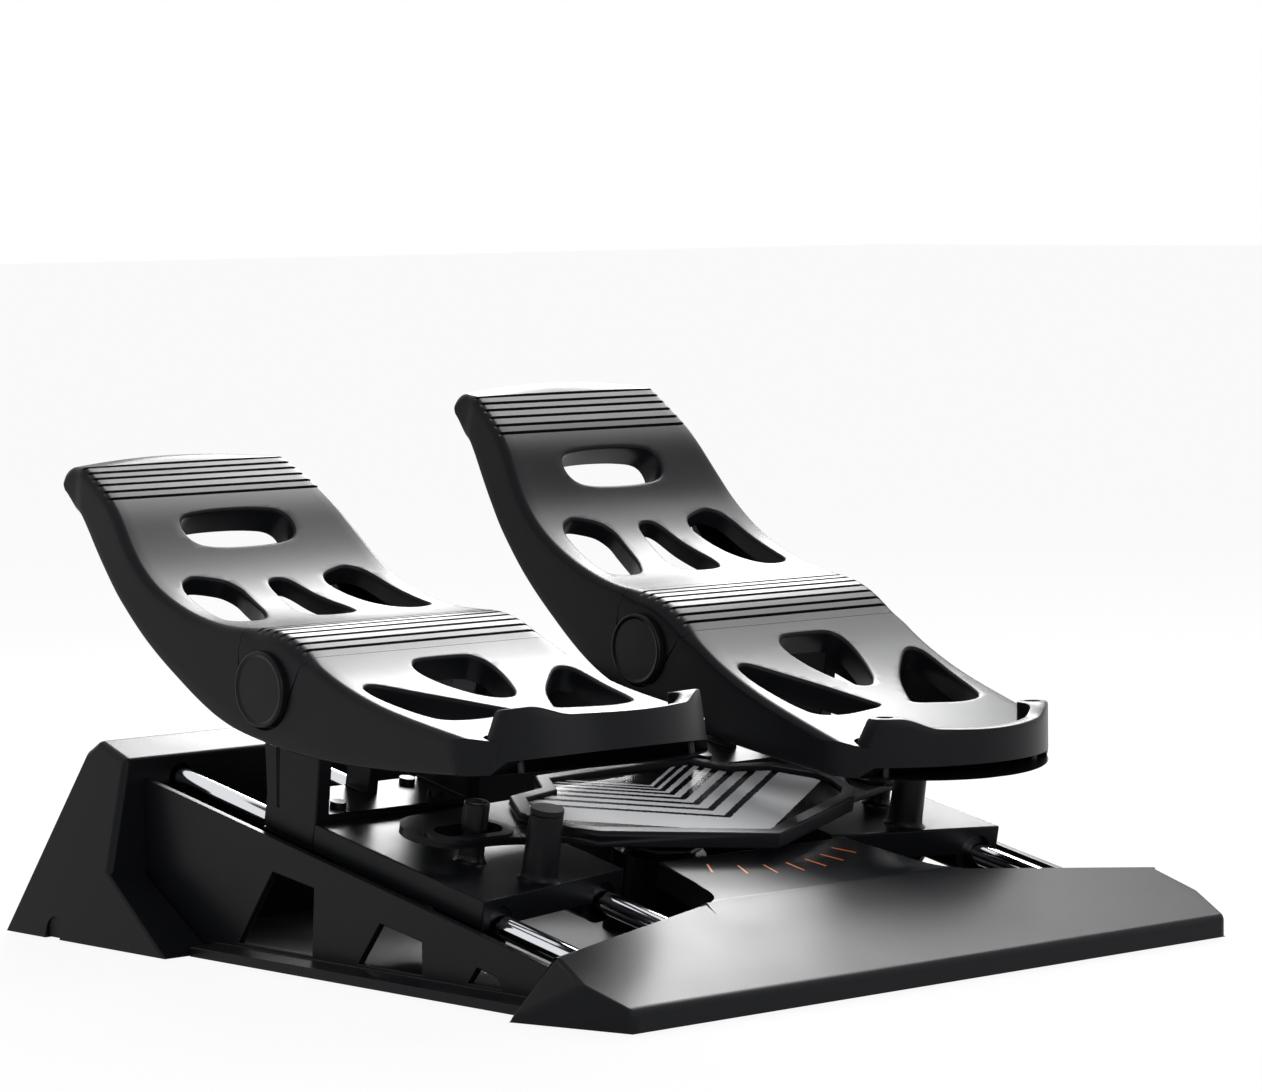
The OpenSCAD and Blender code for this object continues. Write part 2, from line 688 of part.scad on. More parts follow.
// Rear cover
module rear_side(inset) {
  polygon([[wall_y + inset, cover_z - 2 * inset], [wall_y + inset, wall_z - inset],
    [crest_y, crest_z - inset], [shoulder_y - inset, shoulder_z - inset],
    [base_d - 2 * inset, cover_z - 2 * inset]]);
}
module rear_end(inset) {
  polygon([[-half_w + inset, 0 - inset], [half_w - inset, 0 - inset],
    [half_w - inset - lean_share * crest_z, crest_z], [-half_w + inset + lean_share * crest_z, crest_z]]);
}
module rear_ear(inset) {
  intersection() {
    between(ear_in_x + inset, half_w) polygon([[ear_y + 3 * inset, cover_z - 2 * inset],
      [wall_y + over, ear_z + over * ear_z / (wall_y - ear_y) - 2 * inset],
      [wall_y + over, cover_z - 2 * inset]]);
    deep(0, base_d) rear_end(inset);
  }
}
module rear_cover() {
  color(black) difference() {
    stand() union() {
      difference() {
        intersection() {
          across(base_w) rear_side(0);
          deep(0, base_d) rear_end(0);
        }
        intersection() {
          across(base_w) rear_side(cover_wall);
          deep(0, base_d + over) rear_end(cover_wall);
        }
      }
      sides() difference() {
        rear_ear(0);
        rear_ear(cover_wall);
      }
      intersection() {
        sides() for (x = rear_screw_x) translate([x, rear_screw_y, plate_top + plate_edge_gap / 2])
          cylinder(d = cover_boss_d, h = crest_z);
        across(base_w) rear_side(0);
      }
    }
    stand() {
      cover_screw_places() translate([0, 0, plate_top - over])
        cylinder(d = screw_d + 2 * seat_gap, h = cover_screw_len + over);
      // Clears the bottom plate
      translate([-wall_in_x - plate_edge_gap, 0, plate_z - over])
        cube([2 * (wall_in_x + plate_edge_gap), plate_y1 + plate_edge_gap,
          over + plate_t + plate_edge_gap / 2]);
      // The outlet for the lead, at the left end
      translate([-half_w - over, notch_y, notch_d / 2]) rotate([0, 90, 0])
        cylinder(d = notch_d, h = end_lean + over);
      translate([-half_w - over, notch_y - notch_d / 2, 0]) cube([end_lean + over, notch_d, notch_d / 2]);
    }
    on_slope() translate([0, 0, 0]) rail_places() translate([0, rail_t0, 0]) rotate([-90, 0, 0])
      cylinder(d = rail_d + 2 * rail_hole_gap, h = rail_len - clamp_t);
  }
}

// Clamps, their screws and the rods
module clamp(t0) {
  color(dark) on_slope() translate([0, t0, 0]) difference() {
    translate([-clamp_w / 2, 0, -clamp_half_h]) cube([clamp_w, clamp_t, 2 * clamp_half_h]);
    rail_places() rotate([-90, 0, 0]) translate([0, 0, -over])
      cylinder(d = rail_d + 2 * seat_gap, h = clamp_t + 2 * over);
    clamp_screw_places() {
      translate([0, 0, -clamp_half_h - over]) cylinder(d = screw_d + move_gap, h = 4 * clamp_half_h);
      translate([0, 0, clamp_half_h - screw_head_t - seat_gap])
        cylinder(d = screw_head_d + move_gap, h = clamp_half_h);
    }
  }
}
module front_rail_clamp() clamp(clamp_front_t);
module rear_rail_clamp() clamp(clamp_rear_t);
module rail_clamp_screws() {
  color(steel) on_slope() for (t0 = [clamp_front_t, clamp_rear_t]) translate([0, t0, 0])
    clamp_screw_places() translate([0, 0, clamp_half_h - screw_head_t])
      screw(2 * clamp_half_h - screw_head_t + clamp_bite);
}
module rail(x) {
  color(steel) on_slope() translate([x, rail_t0, 0]) rotate([-90, 0, 0]) cylinder(d = rail_d, h = rail_len);
}
module left_outer_rail() rail(-rail_out_x);
module left_inner_rail() rail(-rail_in_x);
module right_inner_rail() rail(rail_in_x);
module right_outer_rail() rail(rail_out_x);

// Circuit board and rudder sensor
module circuit_board() {
  color(green) stand() {
    translate([-board_w / 2, board_y, plate_top + board_post_h]) cube([board_w, board_len, board_t]);
    translate([-chip_w / 2, board_y + (board_len - chip_w) / 2, plate_top + board_post_h + board_t])
      cube([chip_w, chip_w, chip_t]);
  }
}
module rudder_sensor() {
  color(grey) on_slope() translate([0, rocker_t, 0]) {
    translate([0, 0, sensor_top_h - sensor_len]) cylinder(d = sensor_d, h = sensor_len);
    translate([0, 0, sensor_top_h]) cylinder(d = sensor_pin_d, h = bolt_low_h - sensor_top_h - move_gap);
  }
}
module centring_spring() {
  color(steel) on_slope() translate([0, rocker_t, centre_low_h])
    coil(centre_coil_d, centre_wire_d, centre_pitch, centre_curls);
}

// Rocker
function rocker_points(list) = [for (p = list) [p[0] * wing_x, p[1] * nose_reach]];
function both_sides(list) = concat(list, [for (p = flipped(list)) if (p[0] > 0) [-p[0], p[1]]]);
module rocker_plan() {
  polygon(both_sides(rocker_points(concat(rocker_front_share, rocker_rear_share))));
  sides() translate([arm_end_x, -arm_end_lead]) circle(d = arm_end_d);
}
module slot_plan(d) {
  sides() for (x = [slot_x - slot_in_run, slot_x + slot_out_run])
    translate([x, -slot_lead]) circle(d = d);
  sides() translate([slot_x - slot_in_run, -slot_lead - d / 2]) square([slot_in_run + slot_out_run, d]);
}
module rocker_plate() {
  color(black) on_rocker() difference() {
    union() {
      translate([0, 0, rocker_h]) linear_extrude(rocker_plate_t) rocker_plan();
      translate([0, 0, rocker_h]) linear_extrude(rocker_plate_t + rim_rise)
        polygon(both_sides(rocker_points(rim_out_share)));
      translate([0, 0, rocker_h - hub_drop]) cylinder(d = hub_d, h = hub_drop + rocker_plate_t);
    }
    translate([0, 0, rocker_h + rocker_plate_t]) linear_extrude(rim_rise + over)
      polygon(both_sides(rocker_points(rim_in_share)));
    translate([0, 0, rocker_h - over]) linear_extrude(rocker_plate_t + rim_rise + 2 * over)
      slot_plan(slot_w);
    translate([0, 0, rocker_h - hub_drop - over])
      cylinder(d = bush_d + 2 * seat_gap, h = hub_drop + 2 * over);
    translate([0, 0, rocker_h]) cylinder(d = bolt_head_d + 2 * move_gap, h = rocker_plate_t + over);
  }
}
module rocker_inlay() {
  color(grey) on_rocker() translate([0, 0, rocker_h + rocker_plate_t]) linear_extrude(inlay_t)
    polygon([for (p = both_sides(rocker_points(rim_in_share))) p * inlay_edge_share]);
}
module rocker_bolt() {
  color(steel) on_rocker() {
    translate([0, 0, bolt_low_h]) cylinder(d = bolt_d, h = rocker_h - bolt_low_h + seat_gap);
    translate([0, 0, rocker_h + seat_gap]) cylinder(d = bolt_head_d, h = bolt_head_t);
  }
}
module rocker_bush() {
  color(bronze) on_slope() translate([0, rocker_t, pedestal_h]) difference() {
    union() {
      cylinder(d = bush_flange_d, h = bush_flange_t);
      cylinder(d = bush_d, h = rocker_h - pedestal_h);
    }
    translate([0, 0, -over]) cylinder(d = bolt_d + 2 * run_gap, h = rocker_h + 2 * over);
  }
}

// Carriage, for the right side; the left one mirrors it
module carriage_plan(inset) {
  in_x = carriage_in_x + inset;
  out_x = carriage_out_x - inset;
  polygon([[in_x, carriage_inner_t + inset], [out_x, carriage_front_t + inset],
    [out_x, carriage_rear_t - inset], [in_x, carriage_rear_t - inset]]);
}
function carriage_edge_t(x) = carriage_inner_t
  + (carriage_front_t - carriage_inner_t) * (x - carriage_in_x) / carriage_w;
module boss_places() {
  for (x = [rail_in_x, rail_out_x]) {
    translate([x, carriage_edge_t(x - bushing_d / 2), 0]) rotate([-90, 0, 0]) children();
    translate([x, carriage_rear_t, 0]) rotate([90, 0, 0]) children();
  }
}
module carriage(side) {
  color(black) on_carriage(side) difference() {
    union() {
      difference() {
        translate([0, 0, carriage_low_h]) linear_extrude(carriage_h - carriage_low_h) carriage_plan(0);
        translate([0, 0, carriage_low_h - over])
          linear_extrude(carriage_h - carriage_skin - carriage_low_h + over) carriage_plan(carriage_skirt);
      }
      intersection() {
        boss_places() cylinder(d = boss_d, h = boss_len);
        translate([0, 0, -boss_d]) linear_extrude(carriage_h + boss_d) carriage_plan(0);
      }
    }
    for (x = [rail_in_x, rail_out_x]) translate([x, 0, 0]) rotate([-90, 0, 0])
      cylinder(d = rail_d + 2 * rail_hole_gap, h = base_d);
    boss_places() translate([0, 0, -over]) cylinder(d = bushing_d + 2 * seat_gap, h = bushing_len + over);
    // Pocket in the side for the bracket's outer cheek
    translate([carriage_out_x - apron_t - plate_edge_gap / 2, bracket_front_t - plate_edge_gap / 2,
      bracket_foot_h - plate_edge_gap / 2])
      cube([apron_t + over, carriage_rear_t - bracket_front_t + over, carriage_h]);
    bracket_screw_places() translate([0, 0, carriage_h - carriage_skin])
      cylinder(d = screw_d + 2 * seat_gap, h = carriage_skin + over);
    translate([slot_x, rocker_t - slot_lead, carriage_h - carriage_skin])
      cylinder(d = screw_d + 2 * seat_gap, h = carriage_skin + over);
    translate([post_x, post_t, carriage_h - carriage_skin])
      cylinder(d = screw_d + 2 * seat_gap, h = carriage_skin + over);
  }
}
module carriage_bushings(side) {
  color(bronze) on_carriage(side) boss_places() difference() {
    cylinder(d = bushing_d, h = bushing_len);
    translate([0, 0, -over]) cylinder(d = rail_d + 2 * run_gap, h = bushing_len + 2 * over);
  }
}
module bracket_screw_places() {
  for (t = bracket_screw_t, x = [-bracket_screw_x, bracket_screw_x])
    translate([pedal_x + x, t, 0]) children();
}
module drive_pin(side) {
  color(dark) on_carriage(side) translate([slot_x, rocker_t - slot_lead, carriage_h]) {
    cylinder(d = pin_d, h = pin_len);
    translate([0, 0, -carriage_skin / 2]) cylinder(d = screw_d, h = carriage_skin / 2);
  }
}
module heel_post(side) {
  color(black) on_carriage(side) translate([post_x, post_t, carriage_h]) {
    cylinder(d1 = post_d, d2 = post_d - post_taper, h = post_len);
    translate([0, 0, -carriage_skin / 2]) cylinder(d = screw_d, h = carriage_skin / 2);
  }
}
module heel_bumper(side) {
  color(dark) on_carriage(side) translate([post_x, post_t, carriage_h + post_len])
    cylinder(d = post_d - post_taper, h = bumper_t);
}

// Bracket that carries the pedal's shaft
module cheek_plan(low) {
  polygon([[bracket_front_t, low], [bracket_back_t, low], [bracket_back_t, carriage_h + bracket_base_t],
    [bracket_hip_t, bracket_hip_h], [pivot_t + eye_d / 2, pivot_h], [pivot_t - eye_d / 2, pivot_h],
    [bracket_neck_t, bracket_neck_h], [bracket_front_t, carriage_h + bracket_base_t]]);
  translate([pivot_t, pivot_h]) circle(d = eye_d);
}
module pedal_bracket(side) {
  color(black) on_carriage(side) difference() {
    union() {
      between(carriage_out_x - apron_t, carriage_out_x) cheek_plan(bracket_foot_h);
      between(carriage_out_x - cheek_t, carriage_out_x) cheek_plan(carriage_h);
      between(carriage_in_x, carriage_in_x + cheek_t) cheek_plan(carriage_h);
      translate([carriage_in_x, bracket_front_t, carriage_h])
        cube([carriage_w, bracket_back_t - bracket_front_t, bracket_base_t]);
      between(pedal_x - web_t / 2, pedal_x + web_t / 2)
        polygon([[web_front_t, carriage_h], [bracket_back_t, carriage_h],
          [bracket_back_t, web_h], [web_front_t, web_h]]);
    }
    translate([carriage_in_x - over, pivot_t, pivot_h]) rotate([0, 90, 0])
      cylinder(d = pivot_bush_d + 2 * seat_gap, h = carriage_w + 2 * over);
    bracket_screw_places() translate([0, 0, carriage_h - over])
      cylinder(d = screw_d + move_gap, h = bracket_base_t + 2 * over);
    between(carriage_out_x - groove_deep, carriage_out_x + over)
      polygon([[groove_low_t, carriage_h], [groove_low_t + groove_t, carriage_h],
        [groove_top_t + groove_t, carriage_h + groove_run_h], [groove_top_t, carriage_h + groove_run_h]]);
  }
}
module bracket_screws(side) {
  color(steel) on_carriage(side) bracket_screw_places()
    translate([0, 0, carriage_h + bracket_base_t]) screw(bracket_screw_len);
}
module pivot_bushes(side) {
  color(bronze) on_carriage(side) for (x = [carriage_in_x, carriage_out_x - cheek_t])
    translate([x, pivot_t, pivot_h]) rotate([0, 90, 0]) difference() {
      cylinder(d = pivot_bush_d, h = cheek_t);
      translate([0, 0, -over]) cylinder(d = shaft_d + 2 * run_gap, h = cheek_t + 2 * over);
    }
}
module brake_sensor(side) {
  color(grey) on_carriage(side) translate([carriage_in_x + cheek_t, pivot_t, pivot_h]) rotate([0, 90, 0])
    difference() {
      cylinder(d = brake_sensor_d, h = brake_sensor_t);
      translate([0, 0, -over]) cylinder(d = shaft_d + 2 * move_gap, h = brake_sensor_t + 2 * over);
    }
}
module brake_spring(side) {
  color(steel) on_carriage(side) translate([pedal_x + brake_spring_x, pivot_t, pivot_h]) rotate([0, 90, 0])
    coil(brake_coil_d, brake_wire_d, brake_pitch, brake_curls);
}

// Pedal, in its own frame: X across, Y behind the axis, Z above it
module pedal_front_view(inset) {
  right = [for (i = [0 : len(front_rise_share) - 1])
    [(toe_w + front_width_share[i] * (pedal_w - toe_w)) / 2 - inset, front_rise_share[i] * toe_rise]];
  polygon(concat(right, [[pedal_w / 2 - inset, -2 * heel_drop], [-pedal_w / 2 + inset, -2 * heel_drop]],
    opposite(right)));
}
module heel_plan(inset) {
  translate([0, -cup_mid_u]) circle(r = cup_r - inset);
  translate([-pedal_w, -cup_mid_u - cup_r / 2]) square([2 * pedal_w, 2 * heel_reach]);
}
module pedal_form(inset) {
  intersection() {
    across(pedal_w + over) children();
    deep(-2 * heel_reach, 2 * toe_reach) pedal_front_view(inset);
    translate([0, 0, -2 * heel_drop]) linear_extrude(4 * toe_rise) heel_plan(inset);
  }
}
pedal_top = concat(toe_top, rest(knuckle), rest(heel_top));
module pedal_outline() polygon(concat(pedal_top, flipped(heel_back), flipped(toe_back)));
pedal_skin = [for (p = rest(beside(pedal_top, pedal_wall))) if (p[0] > -cup_front_in) p];
module cavity_outline() {
  last = pedal_skin[len(pedal_skin) - 1];
  polygon(concat(pedal_skin, [[last[0], -2 * heel_drop], [2 * toe_reach, -2 * heel_drop],
    [2 * toe_reach, pedal_skin[0][1]]]));
}
function window_points(w, shares) = [for (p = shares) [w[0] + p[0] * w[4], p[1] * w[5]]];
function mirrored_points(w, shares) = [for (p = both_sides(shares)) [p[0] * w[4], p[1] * w[5]]];
module at_window(w) translate([0, w[1], w[2]]) rotate([w[3], 0, 0]) children();
module windows(gap, up, down) {
  at_window(toe_window) translate([0, 0, -down]) linear_extrude(up + down)
    polygon(grown(mirrored_points(toe_window, toe_window_share), gap));
  at_window(mid_window) translate([0, 0, -down]) linear_extrude(up + down)
    polygon(grown(mirrored_points(mid_window, mid_window_share), gap));
  sides() at_window(side_window) translate([0, 0, -down]) linear_extrude(up + down)
    polygon(grown(window_points(side_window, side_window_share), gap));
}
module heel_windows(gap, up, down) {
  at_window(heel_window) translate([0, 0, -down]) linear_extrude(up + down)
    polygon(grown(mirrored_points(heel_window, heel_window_share), gap));
  sides() at_window(wing_window) translate([0, 0, -down]) linear_extrude(up + down)
    polygon(grown(window_points(wing_window, wing_window_share), -gap));
}
teardrop = concat(knuckle, [[-0.186 * toe_reach, 0.048 * toe_rise], [-cap_d / 3, -cap_d / 3],
  [0, 0], [cap_d / 2, cap_d / 4], [0.1 * toe_reach, 0.2 * toe_rise]]);
module teardrop_outline(gap) {
  polygon(grown(teardrop, gap));
  circle(d = cap_d + 2 * gap);
}
module tread(list, w) {
  for (p = list) translate([0, p[0] * toe_reach, p[1] * toe_rise]) rotate([tread_slope_deg, 0, 0])
    cube([w, tread_t, 2 * tread_deep], center = true);
}
module cup_solid(gap, h) {
  intersection() {
    translate([0, -cup_mid_u, 0]) cylinder(r = cup_r + gap, h = h);
    union() {
      difference() {
        translate([-pedal_w / 2, -2 * heel_reach, 0])
          cube([pedal_w, 2 * heel_reach - cup_screw_u - cup_wall / 4, h]);
        translate([0, -cup_mid_u, -over]) cylinder(r = cup_r - cup_wall - gap, h = h + 2 * over);
      }
      sides() translate([cup_screw_x, -cup_screw_u, 0]) cylinder(d = cup_end_d + 2 * gap, h = h);
    }
  }
}
module hinge_pocket() {
  across(pedal_w + over)
    polygon(grown(concat(beside(knuckle, -over), flipped(beside(knuckle, pedal_wall))), seat_gap));
  sides() between(pedal_w / 2 - pedal_wall - seat_gap, pedal_w / 2 + over) teardrop_outline(seat_gap);
}
module pedal_shell(side) {
  color(black) on_pedal(side) difference() {
    union() {
      difference() {
        pedal_form(0) pedal_outline();
        pedal_form(pedal_wall) cavity_outline();
      }
      intersection() {
        pedal_form(0) pedal_outline();
        union() {
          windows(collar_t, toe_collar_deep, toe_collar_deep - pedal_wall);
          heel_windows(collar_t, toe_collar_deep, heel_collar_deep);
          translate([-pedal_w / 2 + pedal_wall / 2, -stop_u - stop_rib_t / 2, stop_v])
            cube([pedal_w - pedal_wall, stop_rib_t, -stop_v + heel_top[4][1]]);
          sides() {
            between(pedal_w / 2 - 2 * pedal_wall, pedal_w / 2 - pedal_wall / 2)
              teardrop_outline(pedal_wall);
            between(hinge_boss_x, pedal_w / 2 - pedal_wall) circle(d = hinge_boss_d);
          }
        }
      }
    }
    windows(0, 2 * toe_collar_deep, 2 * toe_collar_deep);
    heel_windows(0, 2 * toe_collar_deep, 2 * toe_collar_deep);
    hinge_pocket();
    across(shaft_len + 2 * seat_gap) circle(d = shaft_d + 2 * seat_gap);
    tread(toe_tread_share, pedal_w);
    translate([0, 0, cup_seam_v]) cup_solid(seat_gap, -cup_seam_v);
    sides() translate([cup_screw_x, -cup_screw_u, cup_seam_v - lip_pilot_len])
      cylinder(d = screw_d + 2 * seat_gap, h = lip_pilot_len + over);
  }
}
toe_back_edge = [for (i = [1 : len(toe_back) - 2]) toe_back[i]];
module toe_back_cover(side) {
  color(dark) on_pedal(side) difference() {
    pedal_form(pedal_wall + plate_edge_gap / 2)
      polygon(concat(toe_back_edge, flipped(beside(toe_back_edge, -cover_wall))));
    windows(collar_t + plate_edge_gap / 2, 2 * toe_collar_deep, 2 * toe_collar_deep);
  }
}
module hinge_cover(side) {
  color(black) on_pedal(side) difference() {
    union() {
      across(pedal_w) polygon(concat(knuckle, flipped(beside(knuckle, pedal_wall))));
      sides() between(pedal_w / 2 - pedal_wall, pedal_w / 2) teardrop_outline(0);
    }
    tread(knuckle_tread_share, pedal_w);
  }
}
module pivot_caps(side) {
  color(dark) on_pedal(side) sides() difference() {
    between(pedal_w / 2, pedal_w / 2 + cap_t) circle(d = cap_d);
    between(pedal_w / 2 + cap_t - tread_deep, pedal_w + over) circle(d = cap_d - 2 * tread_edge);
  }
}
module pivot_shaft(side) {
  color(steel) on_pedal(side) across(shaft_len) circle(d = shaft_d);
}
module heel_cup(side) {
  color(black) on_pedal(side) difference() {
    translate([0, 0, cup_seam_v]) cup_solid(0, cup_top_v - cup_seam_v);
    // The top dips between the two ends
    across(2 * (cup_screw_x - cup_end_d))
      polygon([[-2 * heel_reach, cup_top_v - cup_dip], [-cup_mid_u, cup_top_v - cup_dip],
        [-cup_mid_u, cup_top_v + over], [-2 * heel_reach, cup_top_v + over]]);
    sides() translate([cup_screw_x, -cup_screw_u, 0]) {
      translate([0, 0, cup_seam_v - over]) cylinder(d = screw_d + move_gap, h = -cup_seam_v);
      translate([0, 0, cup_bore_v]) cylinder(d = cup_hole_d, h = -cup_bore_v);
    }
  }
}
module cup_screws(side) {
  color(steel) on_pedal(side) sides() translate([cup_screw_x, -cup_screw_u, cup_bore_v])
    screw(cup_bore_v - cup_seam_v + lip_pilot_len - seat_gap);
}

module left_carriage() carriage(-1);
module left_carriage_bushings() carriage_bushings(-1);
module left_pedal_bracket() pedal_bracket(-1);
module left_bracket_screws() bracket_screws(-1);
module left_heel_post() heel_post(-1);
module left_heel_bumper() heel_bumper(-1);
module left_drive_pin() drive_pin(-1);
module left_pivot_bushes() pivot_bushes(-1);
module left_brake_sensor() brake_sensor(-1);
module left_brake_spring() brake_spring(-1);
module left_pedal_shell() pedal_shell(-1);
module left_toe_back_cover() toe_back_cover(-1);
module left_hinge_cover() hinge_cover(-1);
module left_pivot_caps() pivot_caps(-1);
module left_pivot_shaft() pivot_shaft(-1);
module left_heel_cup() heel_cup(-1);
module left_cup_screws() cup_screws(-1);
module right_carriage() carriage(1);
module right_carriage_bushings() carriage_bushings(1);
module right_pedal_bracket() pedal_bracket(1);
module right_bracket_screws() bracket_screws(1);
module right_heel_post() heel_post(1);
module right_heel_bumper() heel_bumper(1);
module right_drive_pin() drive_pin(1);
module right_pivot_bushes() pivot_bushes(1);
module right_brake_sensor() brake_sensor(1);
module right_brake_spring() brake_spring(1);
module right_pedal_shell() pedal_shell(1);
module right_toe_back_cover() toe_back_cover(1);
module right_hinge_cover() hinge_cover(1);
module right_pivot_caps() pivot_caps(1);
module right_pivot_shaft() pivot_shaft(1);
module right_heel_cup() heel_cup(1);
module right_cup_screws() cup_screws(1);

base_frame();
front_cover();
rear_cover();
front_rail_clamp();
rear_rail_clamp();
rail_clamp_screws();
left_outer_rail();
left_inner_rail();
right_inner_rail();
right_outer_rail();
rubber_feet();
cover_screws();
circuit_board();
rudder_sensor();
centring_spring();
rocker_plate();
rocker_inlay();
rocker_bolt();
rocker_bush();
left_carriage();
left_carriage_bushings();
left_pedal_bracket();
left_bracket_screws();
left_heel_post();
left_heel_bumper();
left_drive_pin();
left_pivot_bushes();
left_brake_sensor();
left_brake_spring();
left_pedal_shell();
left_toe_back_cover();
left_hinge_cover();
left_pivot_caps();
left_pivot_shaft();
left_heel_cup();
left_cup_screws();
right_carriage();
right_carriage_bushings();
right_pedal_bracket();
right_bracket_screws();
right_heel_post();
right_heel_bumper();
right_drive_pin();
right_pivot_bushes();
right_brake_sensor();
right_brake_spring();
right_pedal_shell();
right_toe_back_cover();
right_hinge_cover();
right_pivot_caps();
right_pivot_shaft();
right_heel_cup();
right_cup_screws();
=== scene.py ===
"""Flight simulator rudder pedals: the looks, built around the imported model.

Shapes are made in millimetres, each in the frame of what carries it, and are
turned to metres when a piece is placed. X runs to the right, Y to the rear and
Z up. A pedal's own frame has U behind its axis and V above it.
"""

import json
import math
import bmesh
import bpy
import numpy as np
from mathutils import Matrix, Vector


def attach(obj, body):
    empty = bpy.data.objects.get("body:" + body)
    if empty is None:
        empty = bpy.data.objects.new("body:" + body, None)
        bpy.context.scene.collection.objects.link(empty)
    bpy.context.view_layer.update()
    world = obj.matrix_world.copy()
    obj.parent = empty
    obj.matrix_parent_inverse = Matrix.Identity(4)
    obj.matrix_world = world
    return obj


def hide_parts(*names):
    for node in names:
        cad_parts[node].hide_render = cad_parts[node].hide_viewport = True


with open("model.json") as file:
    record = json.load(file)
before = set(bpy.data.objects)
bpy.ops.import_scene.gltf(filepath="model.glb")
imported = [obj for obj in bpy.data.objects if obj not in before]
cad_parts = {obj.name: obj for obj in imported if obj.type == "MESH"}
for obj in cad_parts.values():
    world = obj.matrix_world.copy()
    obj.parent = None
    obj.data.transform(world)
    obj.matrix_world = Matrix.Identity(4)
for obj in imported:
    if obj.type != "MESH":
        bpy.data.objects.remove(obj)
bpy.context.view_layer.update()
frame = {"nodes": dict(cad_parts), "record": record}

# Sizes in millimetres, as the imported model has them
MM = 0.001
BASE_D = 328
SLOPE = math.radians(11.24)
RAIL_START_Z = 4.5
POSE_LEAD = 2.36
PEDAL_X = 89.1
PIVOT_T = 203.6
PIVOT_H = 55.7
PRESS = math.radians(9.6)
ROCKER_T = 146
ROCKER_TURN = math.radians(1.3)
SIDES = {"left": -1, "right": 1}


# Frames


def stand():
    """The base's frame: X across, depth from the front lip and height over the floor."""
    return Matrix.Translation((0, -BASE_D / 2, 0))


def on_slope():
    """The rods' frame: depth runs up the slope, and height stands square to it."""
    return stand() @ Matrix.Translation((0, 0, RAIL_START_Z)) @ Matrix.Rotation(SLOPE, 4, "X")


def flank(side):
    """Leaves the right side as it is and mirrors it to make the left one."""
    return Matrix.Diagonal((side, 1, 1, 1))


def on_carriage(side):
    """A carriage's frame, which is the rods' frame moved by the rest pose."""
    return on_slope() @ Matrix.Translation((0, side * POSE_LEAD, 0)) @ flank(side)


def on_pedal(side):
    """A pedal's frame: U runs level to the rear from its axis, and V runs up, before it is pressed."""
    tilt = -SLOPE - (PRESS if side < 0 else 0)
    place = Matrix.Translation((side * PEDAL_X, PIVOT_T + side * POSE_LEAD, PIVOT_H))
    return on_slope() @ place @ Matrix.Rotation(tilt, 4, "X") @ flank(side)


def on_rocker():
    """The rocker's frame, with its height along the pivot."""
    return on_slope() @ Matrix.Translation((0, ROCKER_T, 0)) @ Matrix.Rotation(ROCKER_TURN, 4, "Z")


# Camera, solved from the photograph's straight edges

PHOTO_W = 1262
FOCAL_PX = 4914
SENSOR_MM = 36
CAMERA_AT = Vector((-1.1709, -1.3132, 0.2697))
CAMERA_TURN = math.radians(41.88)
CAMERA_DOWN = math.radians(4.2)
CAMERA_ROLL = math.radians(-0.63)
NEAREST = 0.05
FARTHEST = 50


def make_camera():
    """The photograph's own view of the object."""
    data = bpy.data.cameras.new("camera")
    data.sensor_fit = "HORIZONTAL"
    data.sensor_width = SENSOR_MM
    data.lens = FOCAL_PX / PHOTO_W * SENSOR_MM
    data.clip_start = NEAREST
    data.clip_end = FARTHEST
    camera = bpy.data.objects.new("camera", data)
    bpy.context.scene.collection.objects.link(camera)
    level = math.cos(CAMERA_DOWN)
    ahead = Vector((math.sin(CAMERA_TURN) * level, math.cos(CAMERA_TURN) * level,
                    -math.sin(CAMERA_DOWN)))
    right = Vector((math.cos(CAMERA_TURN), -math.sin(CAMERA_TURN), 0))
    up = right.cross(ahead)
    turned_right = right * math.cos(CAMERA_ROLL) + up * math.sin(CAMERA_ROLL)
    turned_up = -right * math.sin(CAMERA_ROLL) + up * math.cos(CAMERA_ROLL)
    axes = Matrix((turned_right, turned_up, -ahead)).transposed().to_4x4()
    camera.matrix_world = Matrix.Translation(CAMERA_AT) @ axes
    bpy.context.scene.camera = camera


make_camera()


# Materials


def linear(code):
    """A colour given as sRGB hex, as linear RGBA."""
    parts = [int(code[i : i + 2], 16) / 255 for i in (0, 2, 4)]
    return [p / 12.92 if p <= 0.04045 else ((p + 0.055) / 1.055) ** 2.4 for p in parts] + [1]


def add(tree, kind, inputs, **settings):
    """Adds one node and sets it. An input takes a value, or a link from another node's output."""
    node = tree.nodes.new(kind)
    for name, value in settings.items():
        setattr(node, name, value)
    for name, value in inputs.items():
        if isinstance(value, bpy.types.NodeSocket):
            tree.links.new(value, node.inputs[name])
        else:
            node.inputs[name].default_value = value
    return node


def new_material(name, **values):
    """A material with a Principled shader, whose plain values are set on its sockets."""
    material = bpy.data.materials.new(name)
    material.use_nodes = True
    shader = material.node_tree.nodes["Principled BSDF"]
    for key, value in values.items():
        shader.inputs[key.replace("_", " ")].default_value = value
    return material, material.node_tree, shader


def grain(tree, shader, size_mm, height_mm, strength):
    """A fine moulded grain: bumps of one size all over the surface."""
    place = add(tree, "ShaderNodeTexCoord", {}).outputs["Object"]
    noise = add(tree, "ShaderNodeTexNoise",
                {"Vector": place, "Scale": 1 / (size_mm * MM), "Detail": 2})
    bump = add(tree, "ShaderNodeBump", {"Height": noise.outputs[0], "Strength": strength,
                                        "Distance": height_mm * MM})
    tree.links.new(bump.outputs[0], shader.inputs["Normal"])
    return place


# Where most of a noise pattern's values lie
NOISE_SPAN = (0.3, 0.7)


